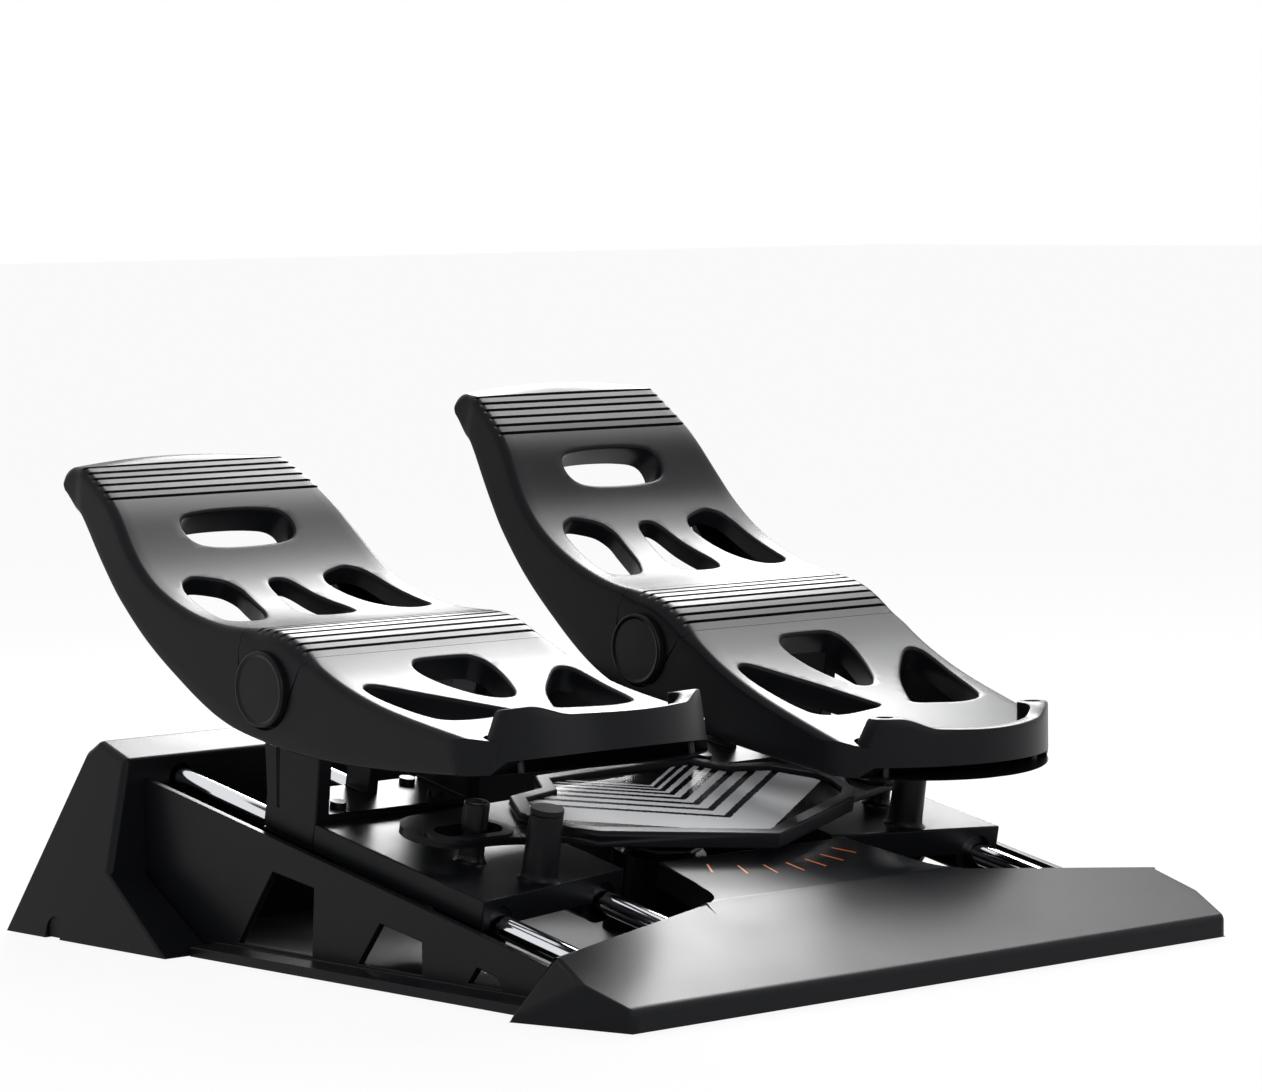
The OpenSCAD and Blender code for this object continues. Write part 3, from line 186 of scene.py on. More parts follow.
def patchy(tree, shader, place, size_mm, low, high):
    """Roughness that drifts a little from place to place, as handling and moulding leave it."""
    noise = add(tree, "ShaderNodeTexNoise",
                {"Vector": place, "Scale": 1 / (size_mm * MM), "Detail": 3})
    spread = add(tree, "ShaderNodeMapRange",
                 {"Value": noise.outputs[0], "From Min": NOISE_SPAN[0], "From Max": NOISE_SPAN[1],
                  "To Min": low, "To Max": high})
    tree.links.new(spread.outputs[0], shader.inputs["Roughness"])


def grained(name, colour, bumps, patches, **values):
    """A grained surface: bumps by size, height and strength, patches by size and roughness."""
    material, tree, shader = new_material(name, Base_Color=linear(colour), **values)
    place = grain(tree, shader, *bumps)
    patchy(tree, shader, place, *patches)
    return material


def moulded_abs():
    """Black ABS from an etched mould: a satin face with a fine grain that catches low light."""
    # The real grain is about 0.3 mm, and is drawn coarser so that it shows
    return grained("moulded_abs", "151619", (0.5, 0.03, 0.6), (30, 0.29, 0.34), IOR=1.5,
                   Specular_IOR_Level=0.1)


def smooth_abs():
    """Black ABS from a polished mould, for the caps and small parts: darker, with a tighter shine."""
    return grained("smooth_abs", "141517", (0.8, 0.01, 0.3), (20, 0.25, 0.33), IOR=1.5,
                   Specular_IOR_Level=0.12)


def grey_nylon():
    """Grey moulded nylon, for the sensor bodies inside: plain and matt."""
    return grained("grey_nylon", "5a5c60", (0.6, 0.02, 0.3), (15, 0.45, 0.55), IOR=1.53)


RING_APART = 0.625
RING_LONG = 25


def ground_chrome():
    """Hard chrome on ground steel: a mirror with faint rings left by the grinding wheel."""
    material, tree, shader = new_material("ground_chrome", Base_Color=linear("dcdee2"), Metallic=1)
    place = add(tree, "ShaderNodeTexCoord", {}).outputs["Object"]
    # Real rings are finer, and are drawn this far apart so that they show
    scale = [1 / (size * MM) for size in (RING_LONG, RING_APART, RING_LONG)]
    squeezed = add(tree, "ShaderNodeMapping", {"Vector": place, "Scale": scale})
    wave = add(tree, "ShaderNodeTexNoise", {"Vector": squeezed.outputs[0], "Scale": 1})
    bump = add(tree, "ShaderNodeBump", {"Height": wave.outputs[0], "Strength": 0.05,
                                        "Distance": 0.01 * MM})
    tree.links.new(bump.outputs[0], shader.inputs["Normal"])
    patchy(tree, shader, place, 12, 0.07, 0.13)
    return material


def zinc_plate():
    """Bright zinc on pressed steel, for the screws and shafts: a soft metal shine."""
    return grained("zinc_plate", "b9bbbf", (0.9, 0.01, 0.2), (6, 0.25, 0.38), Metallic=1)


def spring_wire():
    """Drawn spring steel: darker than plate, with a dull shine along the wire."""
    return grained("spring_wire", "8d8f94", (0.5, 0.01, 0.2), (5, 0.3, 0.42), Metallic=1)


def sintered_bronze():
    """Pressed and sintered bronze, for the bushes: matt, with open pores."""
    return grained("sintered_bronze", "b08d5e", (0.35, 0.02, 0.5), (4, 0.4, 0.52), Metallic=1)


def foot_rubber():
    """Moulded black rubber, for the feet and bumpers: almost no shine."""
    return grained("foot_rubber", "161617", (0.7, 0.03, 0.5), (10, 0.7, 0.8), IOR=1.5,
                   Specular_IOR_Level=0.3)


def solder_mask():
    """Glass-filled board under green solder mask: a thin glossy coat."""
    return grained("solder_mask", "1f5a36", (1.2, 0.01, 0.3), (8, 0.25, 0.35), IOR=1.5)


def black_oxide():
    """Steel with a black oxide finish, for screws and bushes that show: a faint dark shine."""
    return grained("black_oxide", "2a2a2c", (0.6, 0.01, 0.2), (5, 0.35, 0.48), Metallic=1)


def tick_ink():
    """Orange pad print on the tongue: a thin flat ink."""
    return grained("tick_ink", "e27a33", (0.6, 0.01, 0.2), (5, 0.45, 0.55), IOR=1.45)


# A chevron's arms fall back by this much for each millimetre across
CHEVRON_LEAN = 0.62
CHEVRON_FROM = -56
CHEVRON_TO = 40
# Where print begins and ends, in turn, as shares from the front of the plate
CHEVRON_STOPS = [0.04, 0.24, 0.27, 0.33, 0.36, 0.41, 0.44, 0.48, 0.51, 0.54, 0.57, 0.59, 0.62, 0.635,
                 0.66, 0.672]
PLATE_H = 20
# How ragged the print's edge is, as sprayed ink leaves it, and how many bumps it has in a millimetre
SPRAY = 0.7
SPRAY_SCALE = 0.9


def printed_plate():
    """Gloss black plate with silver print under a clear coat: chevrons that thin out to the rear."""
    material, tree, shader = new_material("printed_plate", IOR=1.5, Roughness=0.16)
    at = [MM * c for c in on_rocker() @ Vector((0, 0, PLATE_H))]
    place = add(tree, "ShaderNodeTexCoord", {}).outputs["Object"]
    flat = add(tree, "ShaderNodeMapping", {"Vector": place, "Location": at, "Scale": (MM, MM, MM),
                                           "Rotation": (SLOPE, 0, ROCKER_TURN)},
               vector_type="TEXTURE").outputs[0]
    axes = add(tree, "ShaderNodeSeparateXYZ", {0: flat}).outputs
    across = add(tree, "ShaderNodeMath", {0: axes[0]}, operation="ABSOLUTE").outputs[0]
    lean = add(tree, "ShaderNodeMath", {0: across, 1: -CHEVRON_LEAN}, operation="MULTIPLY")
    along = add(tree, "ShaderNodeMath", {0: axes[1], 1: lean.outputs[0]}, operation="ADD")
    spray = add(tree, "ShaderNodeTexNoise", {"Vector": flat, "Scale": SPRAY_SCALE, "Detail": 4})
    ragged = add(tree, "ShaderNodeMapRange",
                 {"Value": spray.outputs[0], "To Min": -SPRAY, "To Max": SPRAY})
    along = add(tree, "ShaderNodeMath", {0: along.outputs[0], 1: ragged.outputs[0]},
                operation="ADD")
    share = add(tree, "ShaderNodeMapRange", {"Value": along.outputs[0], "From Min": CHEVRON_FROM,
                                             "From Max": CHEVRON_TO})
    ramp = add(tree, "ShaderNodeValToRGB", {"Fac": share.outputs[0]})
    black, silver = linear("08080a"), linear("d4d5d8")
    ramp.color_ramp.interpolation = "CONSTANT"
    stops = ramp.color_ramp.elements
    stops[0].color = black
    stops[1].position = CHEVRON_STOPS[0]
    stops[1].color = silver
    for i, position in enumerate(CHEVRON_STOPS[1:]):
        stops.new(position).color = black if i % 2 == 0 else silver
    tree.links.new(ramp.outputs[0], shader.inputs["Base Color"])
    return material


FINISH = {
    "black_plastic": moulded_abs(),
    "dark_plastic": smooth_abs(),
    "grey_plastic": grey_nylon(),
    "graphic_plate": printed_plate(),
    "bright_steel": ground_chrome(),
    "zinc_steel": zinc_plate(),
    "spring_steel": spring_wire(),
    "bronze": sintered_bronze(),
    "rubber": foot_rubber(),
    "board": solder_mask(),
}
TICK_INK = tick_ink()
BLACK_OXIDE = black_oxide()
DARK_STEEL_NODES = ["cup_screws", "carriage_bushings", "bracket_screws"]


def dress_nodes():
    """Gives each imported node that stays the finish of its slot."""
    for part in frame["record"]["subparts"]:
        mesh = frame["nodes"][part["node"]].data
        dark = any(part["node"].endswith(name) for name in DARK_STEEL_NODES)
        finish = BLACK_OXIDE if dark else FINISH[part["material_slot"]]
        if len(mesh.materials) == 0:
            mesh.materials.append(finish)
        for i in range(len(mesh.materials)):
            mesh.materials[i] = finish


# Solids, in millimetres


def make_object(name, verts, faces):
    """A new object from points and faces, which are turned to face outwards."""
    mesh = bpy.data.meshes.new(name)
    mesh.from_pydata([tuple(v) for v in verts], [], faces)
    edit = bmesh.new()
    edit.from_mesh(mesh)
    bmesh.ops.recalc_face_normals(edit, faces=edit.faces)
    edit.to_mesh(mesh)
    edit.free()
    obj = bpy.data.objects.new(name, mesh)
    bpy.context.scene.collection.objects.link(obj)
    return obj


def ring_faces(rings, count):
    """The faces between each ring of points and the next."""
    faces = []
    for i in range(rings - 1):
        for j in range(count):
            k = (j + 1) % count
            faces.append((i * count + j, i * count + k, (i + 1) * count + k, (i + 1) * count + j))
    return faces


def slab(low, high):
    """A closed solid between two outlines with one count of points."""
    count = len(low)
    ends = [tuple(range(count)), tuple(range(count, 2 * count))]
    return make_object("slab", low + high, ring_faces(2, count) + ends)


def prism(outline, low, high, view="plan"):
    """An outline run from low to high: seen from above, from the side or from the front."""
    place = {"plan": lambda a, b, c: (a, b, c), "side": lambda a, b, c: (c, a, b),
             "front": lambda a, b, c: (a, c, b)}[view]
    return slab(*[[place(a, b, c) for a, b in outline] for c in (low, high)])


def skinned(rings, tips):
    """A closed solid through rings, with a fan of faces to a tip at each end."""
    count = len(rings[0])
    verts = [p for ring in rings for p in ring]
    faces = ring_faces(len(rings), count)
    for i, tip in zip((0, len(rings) - 1), tips):
        middle = len(verts)
        verts.append(tip)
        faces += [(middle, i * count + j, i * count + (j + 1) % count) for j in range(count)]
    return make_object("skinned", verts, faces)


def loft(rings):
    """A closed solid through rings with one count of points."""
    return skinned(rings, [sum((Vector(p) for p in ring), Vector()) / len(ring)
                           for ring in (rings[0], rings[-1])])


def spun(profile, count):
    """Turns a profile of (radius, height) points about Z. It begins and ends on the axis."""
    turns = [2 * math.pi * k / count for k in range(count)]
    rings = [[(r * math.cos(a), r * math.sin(a), h) for a in turns] for r, h in profile[1:-1]]
    return skinned(rings, [(0, 0, profile[0][1]), (0, 0, profile[-1][1])])


def applied(obj):
    """Turns an object's modifiers into its mesh."""
    graph = bpy.context.evaluated_depsgraph_get()
    mesh = bpy.data.meshes.new_from_object(obj.evaluated_get(graph))
    obj.modifiers.clear()
    obj.data = mesh
    return obj


def combine(obj, tool, how, keep=False):
    """Joins, cuts or overlaps a solid with another, which is then removed unless it is kept."""
    step = obj.modifiers.new("combine", "BOOLEAN")
    step.object = tool
    step.operation = how
    step.solver = "MANIFOLD"
    applied(obj)
    if not keep:
        bpy.data.objects.remove(tool)
    return obj


def copied(obj):
    """A second object with a mesh of its own."""
    other = obj.copy()
    other.data = obj.data.copy()
    bpy.context.scene.collection.objects.link(other)
    return other


def moved(obj, matrix):
    """Moves a solid's points, and keeps its faces outwards when it is mirrored."""
    obj.data.transform(matrix)
    if matrix.determinant() < 0:
        obj.data.flip_normals()
    return obj


def both(obj):
    """The solid and its mirror image across the middle, as one object."""
    return combine(obj, moved(copied(obj), flank(-1)), "UNION")


# Points nearer than this are one, in millimetres
SAME_POINT = 0.005
MERGED = 0.03
# Faces that turn by less than this are one flat face, in degrees
FLAT_IN_NODE = 0.4
FLAT_AT_END = 0.3
WIDEST_ROUND = 10.0


def node_solid(node):
    """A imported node's form, in millimetres, as a new object whose faces share their points."""
    mesh = frame["nodes"][node].data.copy()
    mesh.transform(Matrix.Scale(1 / MM, 4))
    obj = bpy.data.objects.new(node + "_form", mesh)
    bpy.context.scene.collection.objects.link(obj)
    edit = bmesh.new()
    edit.from_mesh(mesh)
    bmesh.ops.remove_doubles(edit, verts=edit.verts, dist=SAME_POINT)
    edit.to_mesh(mesh)
    edit.free()
    return obj


def eased(obj, rule, segments=3, angle=25):
    """Rounds edges by radii that a rule gives from an edge's middle and direction."""
    edit = bmesh.new()
    edit.from_mesh(obj.data)
    bmesh.ops.dissolve_limit(edit, angle_limit=math.radians(FLAT_IN_NODE), verts=edit.verts,
                             edges=edit.edges)
    weight = edit.edges.layers.float.new("bevel_weight_edge")
    for edge in edit.edges:
        edge[weight] = 0.0
        if len(edge.link_faces) == 2 and edge.calc_face_angle(0) > math.radians(angle):
            a, b = (v.co for v in edge.verts)
            edge[weight] = min(1, rule((a + b) / 2, b - a) / WIDEST_ROUND)
    edit.to_mesh(obj.data)
    edit.free()
    step = obj.modifiers.new("round", "BEVEL")
    step.limit_method = "WEIGHT"
    step.width = WIDEST_ROUND
    step.segments = segments
    step.use_clamp_overlap = False
    return applied(obj)


def finished(obj, name, matrix, body, slot, nodes=(), material=None, sharp=32, weighted=True):
    """Places a solid as a piece: its finish, its body, its slot and the nodes that it stands for."""
    moved(obj, Matrix.Scale(MM, 4) @ matrix)
    obj.name = name
    obj.data.name = name
    mesh = obj.data
    mesh.materials.clear()
    mesh.materials.append(material or FINISH[slot])
    edit = bmesh.new()
    edit.from_mesh(mesh)
    if weighted:
        # Points that fell together where two solids met would leave corners without a direction
        bmesh.ops.remove_doubles(edit, verts=edit.verts, dist=MERGED * MM)
        bmesh.ops.dissolve_degenerate(edit, dist=MERGED * MM, edges=edit.edges)
        bmesh.ops.dissolve_limit(edit, angle_limit=math.radians(FLAT_AT_END), verts=edit.verts,
                                 edges=edit.edges)
    for face in edit.faces:
        face.smooth = True
        face.material_index = 0
    for edge in edit.edges:
        between = len(edge.link_faces) == 2
        edge.smooth = not (between and edge.calc_face_angle(0) > math.radians(sharp))
    edit.to_mesh(mesh)
    edit.free()
    if weighted:
        step = obj.modifiers.new("even", "WEIGHTED_NORMAL")
        step.keep_sharp = True
    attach(obj, body)
    if nodes:
        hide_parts(*nodes)
    return obj


# Lines and outlines


def arc(cx, cy, r, start, end, count):
    """Points on a circle from one angle to another, in degrees."""
    turn = [math.radians(start + (end - start) * i / count) for i in range(count + 1)]
    return [(cx + r * math.cos(a), cy + r * math.sin(a)) for a in turn]


def soft_step(k):
    """A smooth rise from 0 to 1 as k goes from 0 to 1."""
    k = max(0, min(1, k))
    return k * k * (3 - 2 * k)


def quadratic(start, corner, end, t):
    """A place on the curve that leaves one point and meets another, drawn towards a corner."""
    return tuple((1 - t) ** 2 * start + 2 * t * (1 - t) * corner + t * t * end)


def softened(points, per=6):
    """A smooth open line near its points, from the first to the last: a cubic B-spline."""
    p = [np.array(q, float) for q in points]
    p = [2 * p[0] - p[1]] + p + [2 * p[-1] - p[-2]]
    line = []
    for i in range(len(p) - 3):
        for k in range(per):
            t = k / per
            w = ((1 - t) ** 3, 3 * t**3 - 6 * t**2 + 4, -3 * t**3 + 3 * t**2 + 3 * t + 1, t**3)
            line.append(sum(w[j] * p[i + j] for j in range(4)) / 6)
    line.append((p[-3] * 4 + p[-4] + p[-2]) / 6)
    return np.array(line)


def looped(points, per=5):
    """A smooth closed line through its points."""
    p = np.array(points, float)
    count = len(p)
    line = []
    for i in range(count):
        a, b, c, d = p[i - 1], p[i], p[(i + 1) % count], p[(i + 2) % count]
        for k in range(per):
            t = k / per
            line.append(0.5 * (2 * b + (c - a) * t + (2 * a - 5 * b + 4 * c - d) * t**2
                               + (3 * b - a - 3 * c + d) * t**3))
    return np.array(line)


def grown(loop, gap):
    """A closed line moved outwards by a gap. The line runs either way round."""
    loop = np.array(loop, float)
    ahead = np.roll(loop, -1, 0) - np.roll(loop, 1, 0)
    ahead /= np.linalg.norm(ahead, axis=1)[:, None]
    side = np.stack([ahead[:, 1], -ahead[:, 0]], 1)
    x, y = loop[:, 0], loop[:, 1]
    area = np.sum(x * np.roll(y, -1) - y * np.roll(x, -1))
    return loop + gap * side * (1 if area > 0 else -1)


# The most of an edge that the rounding at one of its ends takes
END_SHARE = 0.45


def corners_cut(outline, radius, count=5):
    """Rounds each corner of a closed outline by a radius, as far as its edges allow."""
    line = []
    size = len(outline)
    for i in range(size):
        a, b, c = (Vector(outline[(i + k) % size]) for k in (-1, 0, 1))
        back, on = (a - b), (c - b)
        half = back.angle(on) / 2
        reach = min(radius / math.tan(half), END_SHARE * back.length, END_SHARE * on.length)
        start, end = b + back.normalized() * reach, b + on.normalized() * reach
        line += [quadratic(start, b, end, k / count) for k in range(count + 1)]
    return line


def oblong(x0, y0, x1, y1):
    """A rectangle's four corners."""
    return [(x0, y0), (x1, y0), (x1, y1), (x0, y1)]


def both_sides(points):
    """An outline's right half, completed by its mirror image."""
    return list(points) + [(-x, y) for x, y in reversed(points) if x > 0.001]


# The pedal's form

HALF_W = 54.6
WALL = 3.0
SEAM = 0.22
EDGE_R = 3.0
LOW_EDGE_R = 1.2
LOW_END_SHARE = 0.2
SHOULDER_R = 5.2
SHOULDER_FROM = 12
SHOULDER_TO = -32
SHOULDER_EASE = 12.0
CAP_R = 13.3
CAP_OUT_X = 57.1
# Beyond any pedal in each direction, for solids that cut right through it
PAST = 60
# The top from the toe's rear edge over the hinge to the heel
TOE_END = [(114.0, 86.9), (115.1, 88.4), (115.2, 90.4), (113.6, 92.6), (111, 93.7), (108, 93.6),
           (105, 92.2)]
TOP = TOE_END + [
    (101.9, 90), (98.6, 87.4), (95.1, 84.6), (90.4, 80.9), (85.6, 76.8), (79.6, 70), (74.9, 63),
    (69.8, 55.7), (64, 48.5), (55.8, 41), (46.7, 35), (37.4, 30.3), (28, 26.6), (18, 23.6),
    (5, 21.5), (-2, 20.6), (-7, 19.3), (-10.7, 17.8), (-14.7, 15.9), (-18.5, 13.5), (-22, 10.9),
    (-25.7, 8), (-32, 3.4), (-40, -2.0), (-55, -9.7), (-70, -15.6), (-89, -22), (-104, -26.9),
    (-118, -31.3), (-134, -36.3)]
# The underside's edge, from the toe to the heel
BACK = [(113.8, 86.3), (112, 84), (108.2, 80), (104.5, 76), (101, 72), (97.8, 68), (94.8, 64),
        (91.9, 60), (88.9, 56), (86.1, 52), (83.4, 48), (80.7, 44), (78, 40), (74.3, 35), (70.4, 30),
        (66.2, 25),
        (61.4, 20), (56.2, 15), (50.5, 10), (44.5, 4.8), (37.6, -0.9), (28.2, -7.6), (17.8, -13),
        (6, -17.3), (-3.5, -20.6), (-14, -23.8), (-24.6, -26.6), (-37.5, -29.5), (-52.7, -32.3),
        (-86.5, -37.2), (-106.9, -39.7), (-134, -41.6)]
# Pairs of places behind the axis: on the top, and below it on the back
ACROSS_PAIRS = [(107, 111), (101.9, 108.8), (95, 103.2), (85.6, 97), (74.9, 88), (64, 76.4),
                (46.7, 58), (28, 37), (5, 8), (-22, -18), (-40, -35), (-70, -67), (-104, -102),
                (-134, -134)]
# Half widths by height over the axis
WIDTH_V = [-60, 43, 54, 62, 70, 77, 88, 110]
WIDTH_X = [HALF_W, HALF_W, 53.6, 52.1, 50.4, 49.0, 47.0, 46.2]
TOE_CORNER = 2.5
# How far the toe's end falls at its sides, and comes forward, and from where to where that grows
CROWN = 2.6
CROWN_BACK = 0.7
CROWN_HALF_W = 45
CROWN_FROM = 101
CROWN_TO = 108

top_line = softened(TOP, 10)
back_line = softened(BACK, 10)


def lengths(line):
    """How far along a line each of its points is."""
    return np.concatenate([[0], np.cumsum(np.linalg.norm(np.diff(line, axis=0), axis=1))])


top_s = lengths(top_line)
back_s = lengths(back_line)
crest_i = int(np.argmax(top_line[:, 1]))


def top_place(u):
    """How far along the top a place behind the axis is."""
    return float(np.interp(-u, -top_line[crest_i:, 0], top_s[crest_i:]))


def back_place(u):
    """How far along the back a place behind the axis is."""
    return float(np.interp(-u, -back_line[:, 0], back_s))


pair_top = [0] + [top_place(a) for a, _ in ACROSS_PAIRS]
pair_back = [0] + [back_place(b) for _, b in ACROSS_PAIRS]


def at_top(s):
    """The point at a distance along the top."""
    return np.array([np.interp(s, top_s, top_line[:, i]) for i in (0, 1)])


def at_back(s):
    """The point of the back that belongs to a distance along the top."""
    t = np.interp(s, pair_top, pair_back)
    return np.array([np.interp(t, back_s, back_line[:, i]) for i in (0, 1)])


def inward(s, reach=1.2):
    """The direction into the pedal, square to its top."""
    ahead = at_top(min(s + reach, top_s[-1])) - at_top(max(s - reach, 0))
    return np.array([-ahead[1], ahead[0]]) / np.linalg.norm(ahead)


# The half width at every half millimetre of height, smoothed over 12 mm
width_v = np.linspace(-60, 110, 341)
kernel = np.exp(-np.linspace(-2, 2, 25) ** 2)
kernel /= kernel.sum()
width_x = np.convolve(np.pad(np.interp(width_v, WIDTH_V, WIDTH_X), 12, mode="edge"), kernel, "valid")


def half_width(v, s):
    """Half the pedal's width at a height, drawn in round the toe's corners."""
    wide = np.interp(v, width_v, width_x)
    if s < TOE_CORNER:
        wide -= TOE_CORNER * (1 - math.sqrt(max(0, 1 - (1 - s / TOE_CORNER) ** 2)))
    return wide


# Grooves in the tread: places along the top, with the same cut for all
GROOVE_W = 1.6
GROOVE_DEEP = 1.1
GROOVE_SIDE = 0.25
TOE_GROOVES = [101.9, 98.7, 95.6, 92.2, 88.7, 85.6]
HINGE_GROOVES = [1.2, -3.0, -7.0, -10.8, -14.7, -18.5, -22.0]
# No two stations along the top come nearer than this
STATION_GAP = 0.35
groove_s = [top_place(u) for u in TOE_GROOVES + HINGE_GROOVES]


def groove(s):
    """How deep the tread is cut at a place along the top."""
    away = min(abs(s - g) for g in groove_s)
    return GROOVE_DEEP * min(1, max(0, (GROOVE_W / 2 - away) / GROOVE_SIDE))


def shoulder(s):
    """The radius between the top and the side: larger over the hinge."""
    first, last = top_place(SHOULDER_FROM), top_place(SHOULDER_TO)
    within = min(s - first, last - s) / SHOULDER_EASE
    return EDGE_R + (SHOULDER_R - EDGE_R) * soft_step(within)


def stations(first, last, step=1.6):
    """Places along the top: even steps, with close ones at each groove's edges."""
    marks = [GROOVE_W / 2, GROOVE_W / 2 - GROOVE_SIDE]
    close = [g + k * m for g in groove_s for m in marks for k in (-1, 1)]
    close = [s for s in close if first < s < last]
    even = [s for s in np.arange(first, last, step) if all(abs(s - c) > STATION_GAP for c in close)]
    return sorted(even + close + [last])


def pedal_ring(s, drop=0.0, inset=0.0, beyond=0.0, edge_r=None, cut=True, wide_n=24):
    """A closed section across the pedal at a place along the top."""
    into = inward(s)
    head = at_top(s) + into * drop
    foot = at_back(s)
    down = foot - head
    deep = np.linalg.norm(down) + beyond
    down /= np.linalg.norm(down)
    radius = min(edge_r or shoulder(s), END_SHARE * deep)
    low_r = min(LOW_EDGE_R, LOW_END_SHARE * deep)
    sunk = into * (groove(s) if cut else 0)

    def point(x_in, d, share=0.0):
        p = head + down * d
        wide = half_width(p[1], s)
        p = p + sunk * share
        return (wide - inset - x_in, p[0], p[1])

    right = [point(radius * (1 - math.sin(a)), radius * (1 - math.cos(a)), max(0, 1 - a * 1.3))
             for a in np.linspace(0, math.pi / 2, 9)]
    right += [point(0, radius + (deep - radius - low_r) * f) for f in (0.2, 0.4, 0.6, 0.8, 1)]
    right += [point(low_r * (1 - math.cos(a)), deep - low_r * (1 - math.sin(a)))
              for a in np.linspace(0, math.pi / 2, 4)[1:]]
    edge_x = right[0][0]
    lid = head + sunk
    flat = [(edge_x * q, lid[0], lid[1]) for q in np.linspace(-1, 1, wide_n + 1)[1:-1]]
    left = [(-x, u, v) for x, u, v in right]
    return left[::-1] + flat + right


def crest(p):
    """Crowns the toe's end: it is highest in the middle."""
    x, u, v = p
    fall = soft_step((u - CROWN_FROM) / (CROWN_TO - CROWN_FROM)) * (x / CROWN_HALF_W) ** 2
    return (x, u - CROWN_BACK * fall, v - CROWN * fall)


def pedal_solid(first, last, **settings):
    """The pedal's outer form between two places along its top."""
    return loft([[crest(p) for p in pedal_ring(s, **settings)] for s in stations(first, last)])


# A window's middle behind the axis and across, then its outline from there: across and towards the toe
TOE_WINDOW = (75.2, 0, [(5, -9.8), (14, -9.2), (19.8, -7.8), (23, -5.2), (24.3, -1.4), (23.6, 2.8),
                        (20.4, 5.4), (14, 6.6), (5.6, 7.2)])
MID_WINDOW = (44.5, 0, [(4.5, -22.6), (9.6, -20.2), (10.8, -14), (9.4, -7.5), (7.4, 0.5), (5.4, 9.6),
                        (2.6, 13.2)])
SIDE_WINDOW = (45, 33.4, [(-11, 13.2), (-13.4, 8), (-12.6, 1.5), (-11, -5.5), (-8.6, -12.5),
                          (-4, -19.6), (1, -22.6), (7, -22.5), (11.8, -20), (12.2, -13.5),
                          (11.6, -6), (10.6, 2.5), (9.6, 9.2), (7.3, 14.2), (4.2, 16.4),
                          (0.5, 17.4), (-6, 15.8)])
HEEL_WINDOW = (-46.5, 0, [(2, -18.3), (5.2, -16.4), (8.6, -12.2), (13, -3), (15.6, 6), (15.8, 12),
                          (13.8, 15.6), (9.2, 17.6)])
WING_WINDOW = (-63, 28.2, [(-18.6, -14.6), (-8.1, 1.5), (5, 15), (12.9, 21), (17.9, 20), (19.2, 13.1),
                           (18, 0), (16.3, -12), (12.9, -18.5), (1.9, -20.6), (-12.1, -18.9),
                           (-18.8, -17.3)])
TOE_WINDOWS = [(TOE_WINDOW, 1), (MID_WINDOW, 1), (SIDE_WINDOW, 1), (SIDE_WINDOW, -1)]
HEEL_WINDOWS = [(HEEL_WINDOW, 1), (WING_WINDOW, 1), (WING_WINDOW, -1)]
RIM_R = 1.4
RIM_FLARE = 0.9
RIM_ABOVE = 1.5
COLLAR = 2.2
COLLAR_START = 1.2
WINDOW_CUT_DEEP = 30
WINDOW_STEPS = 4
# How deep the walls round the windows are
TOE_COLLAR_DEEP = 10.5
MID_COLLAR_DEEP = 6
HEEL_COLLAR_DEEP = 8


def window_loop(window, side):
    """A window's outline as (across, along the top)."""
    u, x, half = window
    outline = both_sides(half) if x == 0 else half
    s = top_place(u)
    return np.array([((x + a) * side, s - b) for a, b in looped(outline)])


def on_top(a, s, d):
    """The point a across, s along the top and d into the pedal."""
    p = at_top(s) + inward(s, 4) * d
    return Vector((a, p[0], p[1]))


def window_solid(window, side, gap, start, down, rim):
    """A plug through a window. With a rim it flares out at the top, to leave a rounded edge."""
    line = window_loop(window, side)
    axis = inward(top_place(window[0]), 10)
    rings = []
    if rim:
        rings.append([on_top(x, s, -RIM_ABOVE) for x, s in grown(line, RIM_R + RIM_FLARE)])
        for a in np.linspace(0, math.pi / 2, 6):
            edge = grown(line, RIM_R * (1 - math.sin(a)))
            rings.append([on_top(x, s, RIM_R * (1 - math.cos(a)) - 0.02) for x, s in edge])
    last = [on_top(x, s, start) for x, s in grown(line, gap)]
    if not rim:
        rings.append(last)
    for k in range(1, WINDOW_STEPS + 1):
        shift = Vector((0, axis[0], axis[1])) * (down * k / WINDOW_STEPS)
        rings.append([p + shift for p in last])
    return loft(rings)


def collar(window, side, deep):
    """A wall round a window, which starts just below the tread."""
    return window_solid(window, side, COLLAR, COLLAR_START, deep, False)


# The hinge cover's outline, seen from the side

HINGE_FROM = 5.2
HINGE_TO = -25.7
# How far the strip's outline stands over the tread before it is cut to it
BAND_OVER = 4
# The open ring round the cap
RING_GAP = 1.0
RING_FIT = 0.1


def hinge_line(drop):
    """Points along the top over the hinge, moved into the pedal by a drop."""
    places = np.linspace(top_place(HINGE_FROM), top_place(HINGE_TO), 15)
    return [tuple(at_top(s) + inward(s) * drop) for s in places]


def teardrop(gap):
    """The side plate's outline: the hinge's top, drawn down to a circle round the axis."""
    r = CAP_R + (RING_GAP if gap else RING_FIT)
    (rear_u, rear_v), (front_u, front_v) = (at_top(top_place(u)) for u in (HINGE_FROM, HINGE_TO))
    rear = [(rear_u + 1.0 + gap, rear_v + 6.0), (rear_u + 2.6 + gap, rear_v - 1.0),
            (rear_u + 6.2 + gap, rear_v - 7.5)]
    front = [(front_u + 5.0 - gap, front_v - 3.6 - gap / 2), (front_u - gap, front_v - 0.6),
             (front_u - 5.0 - gap, front_v + 5.5)]
    return rear + arc(0, 0, r, 20, -158, 30) + front


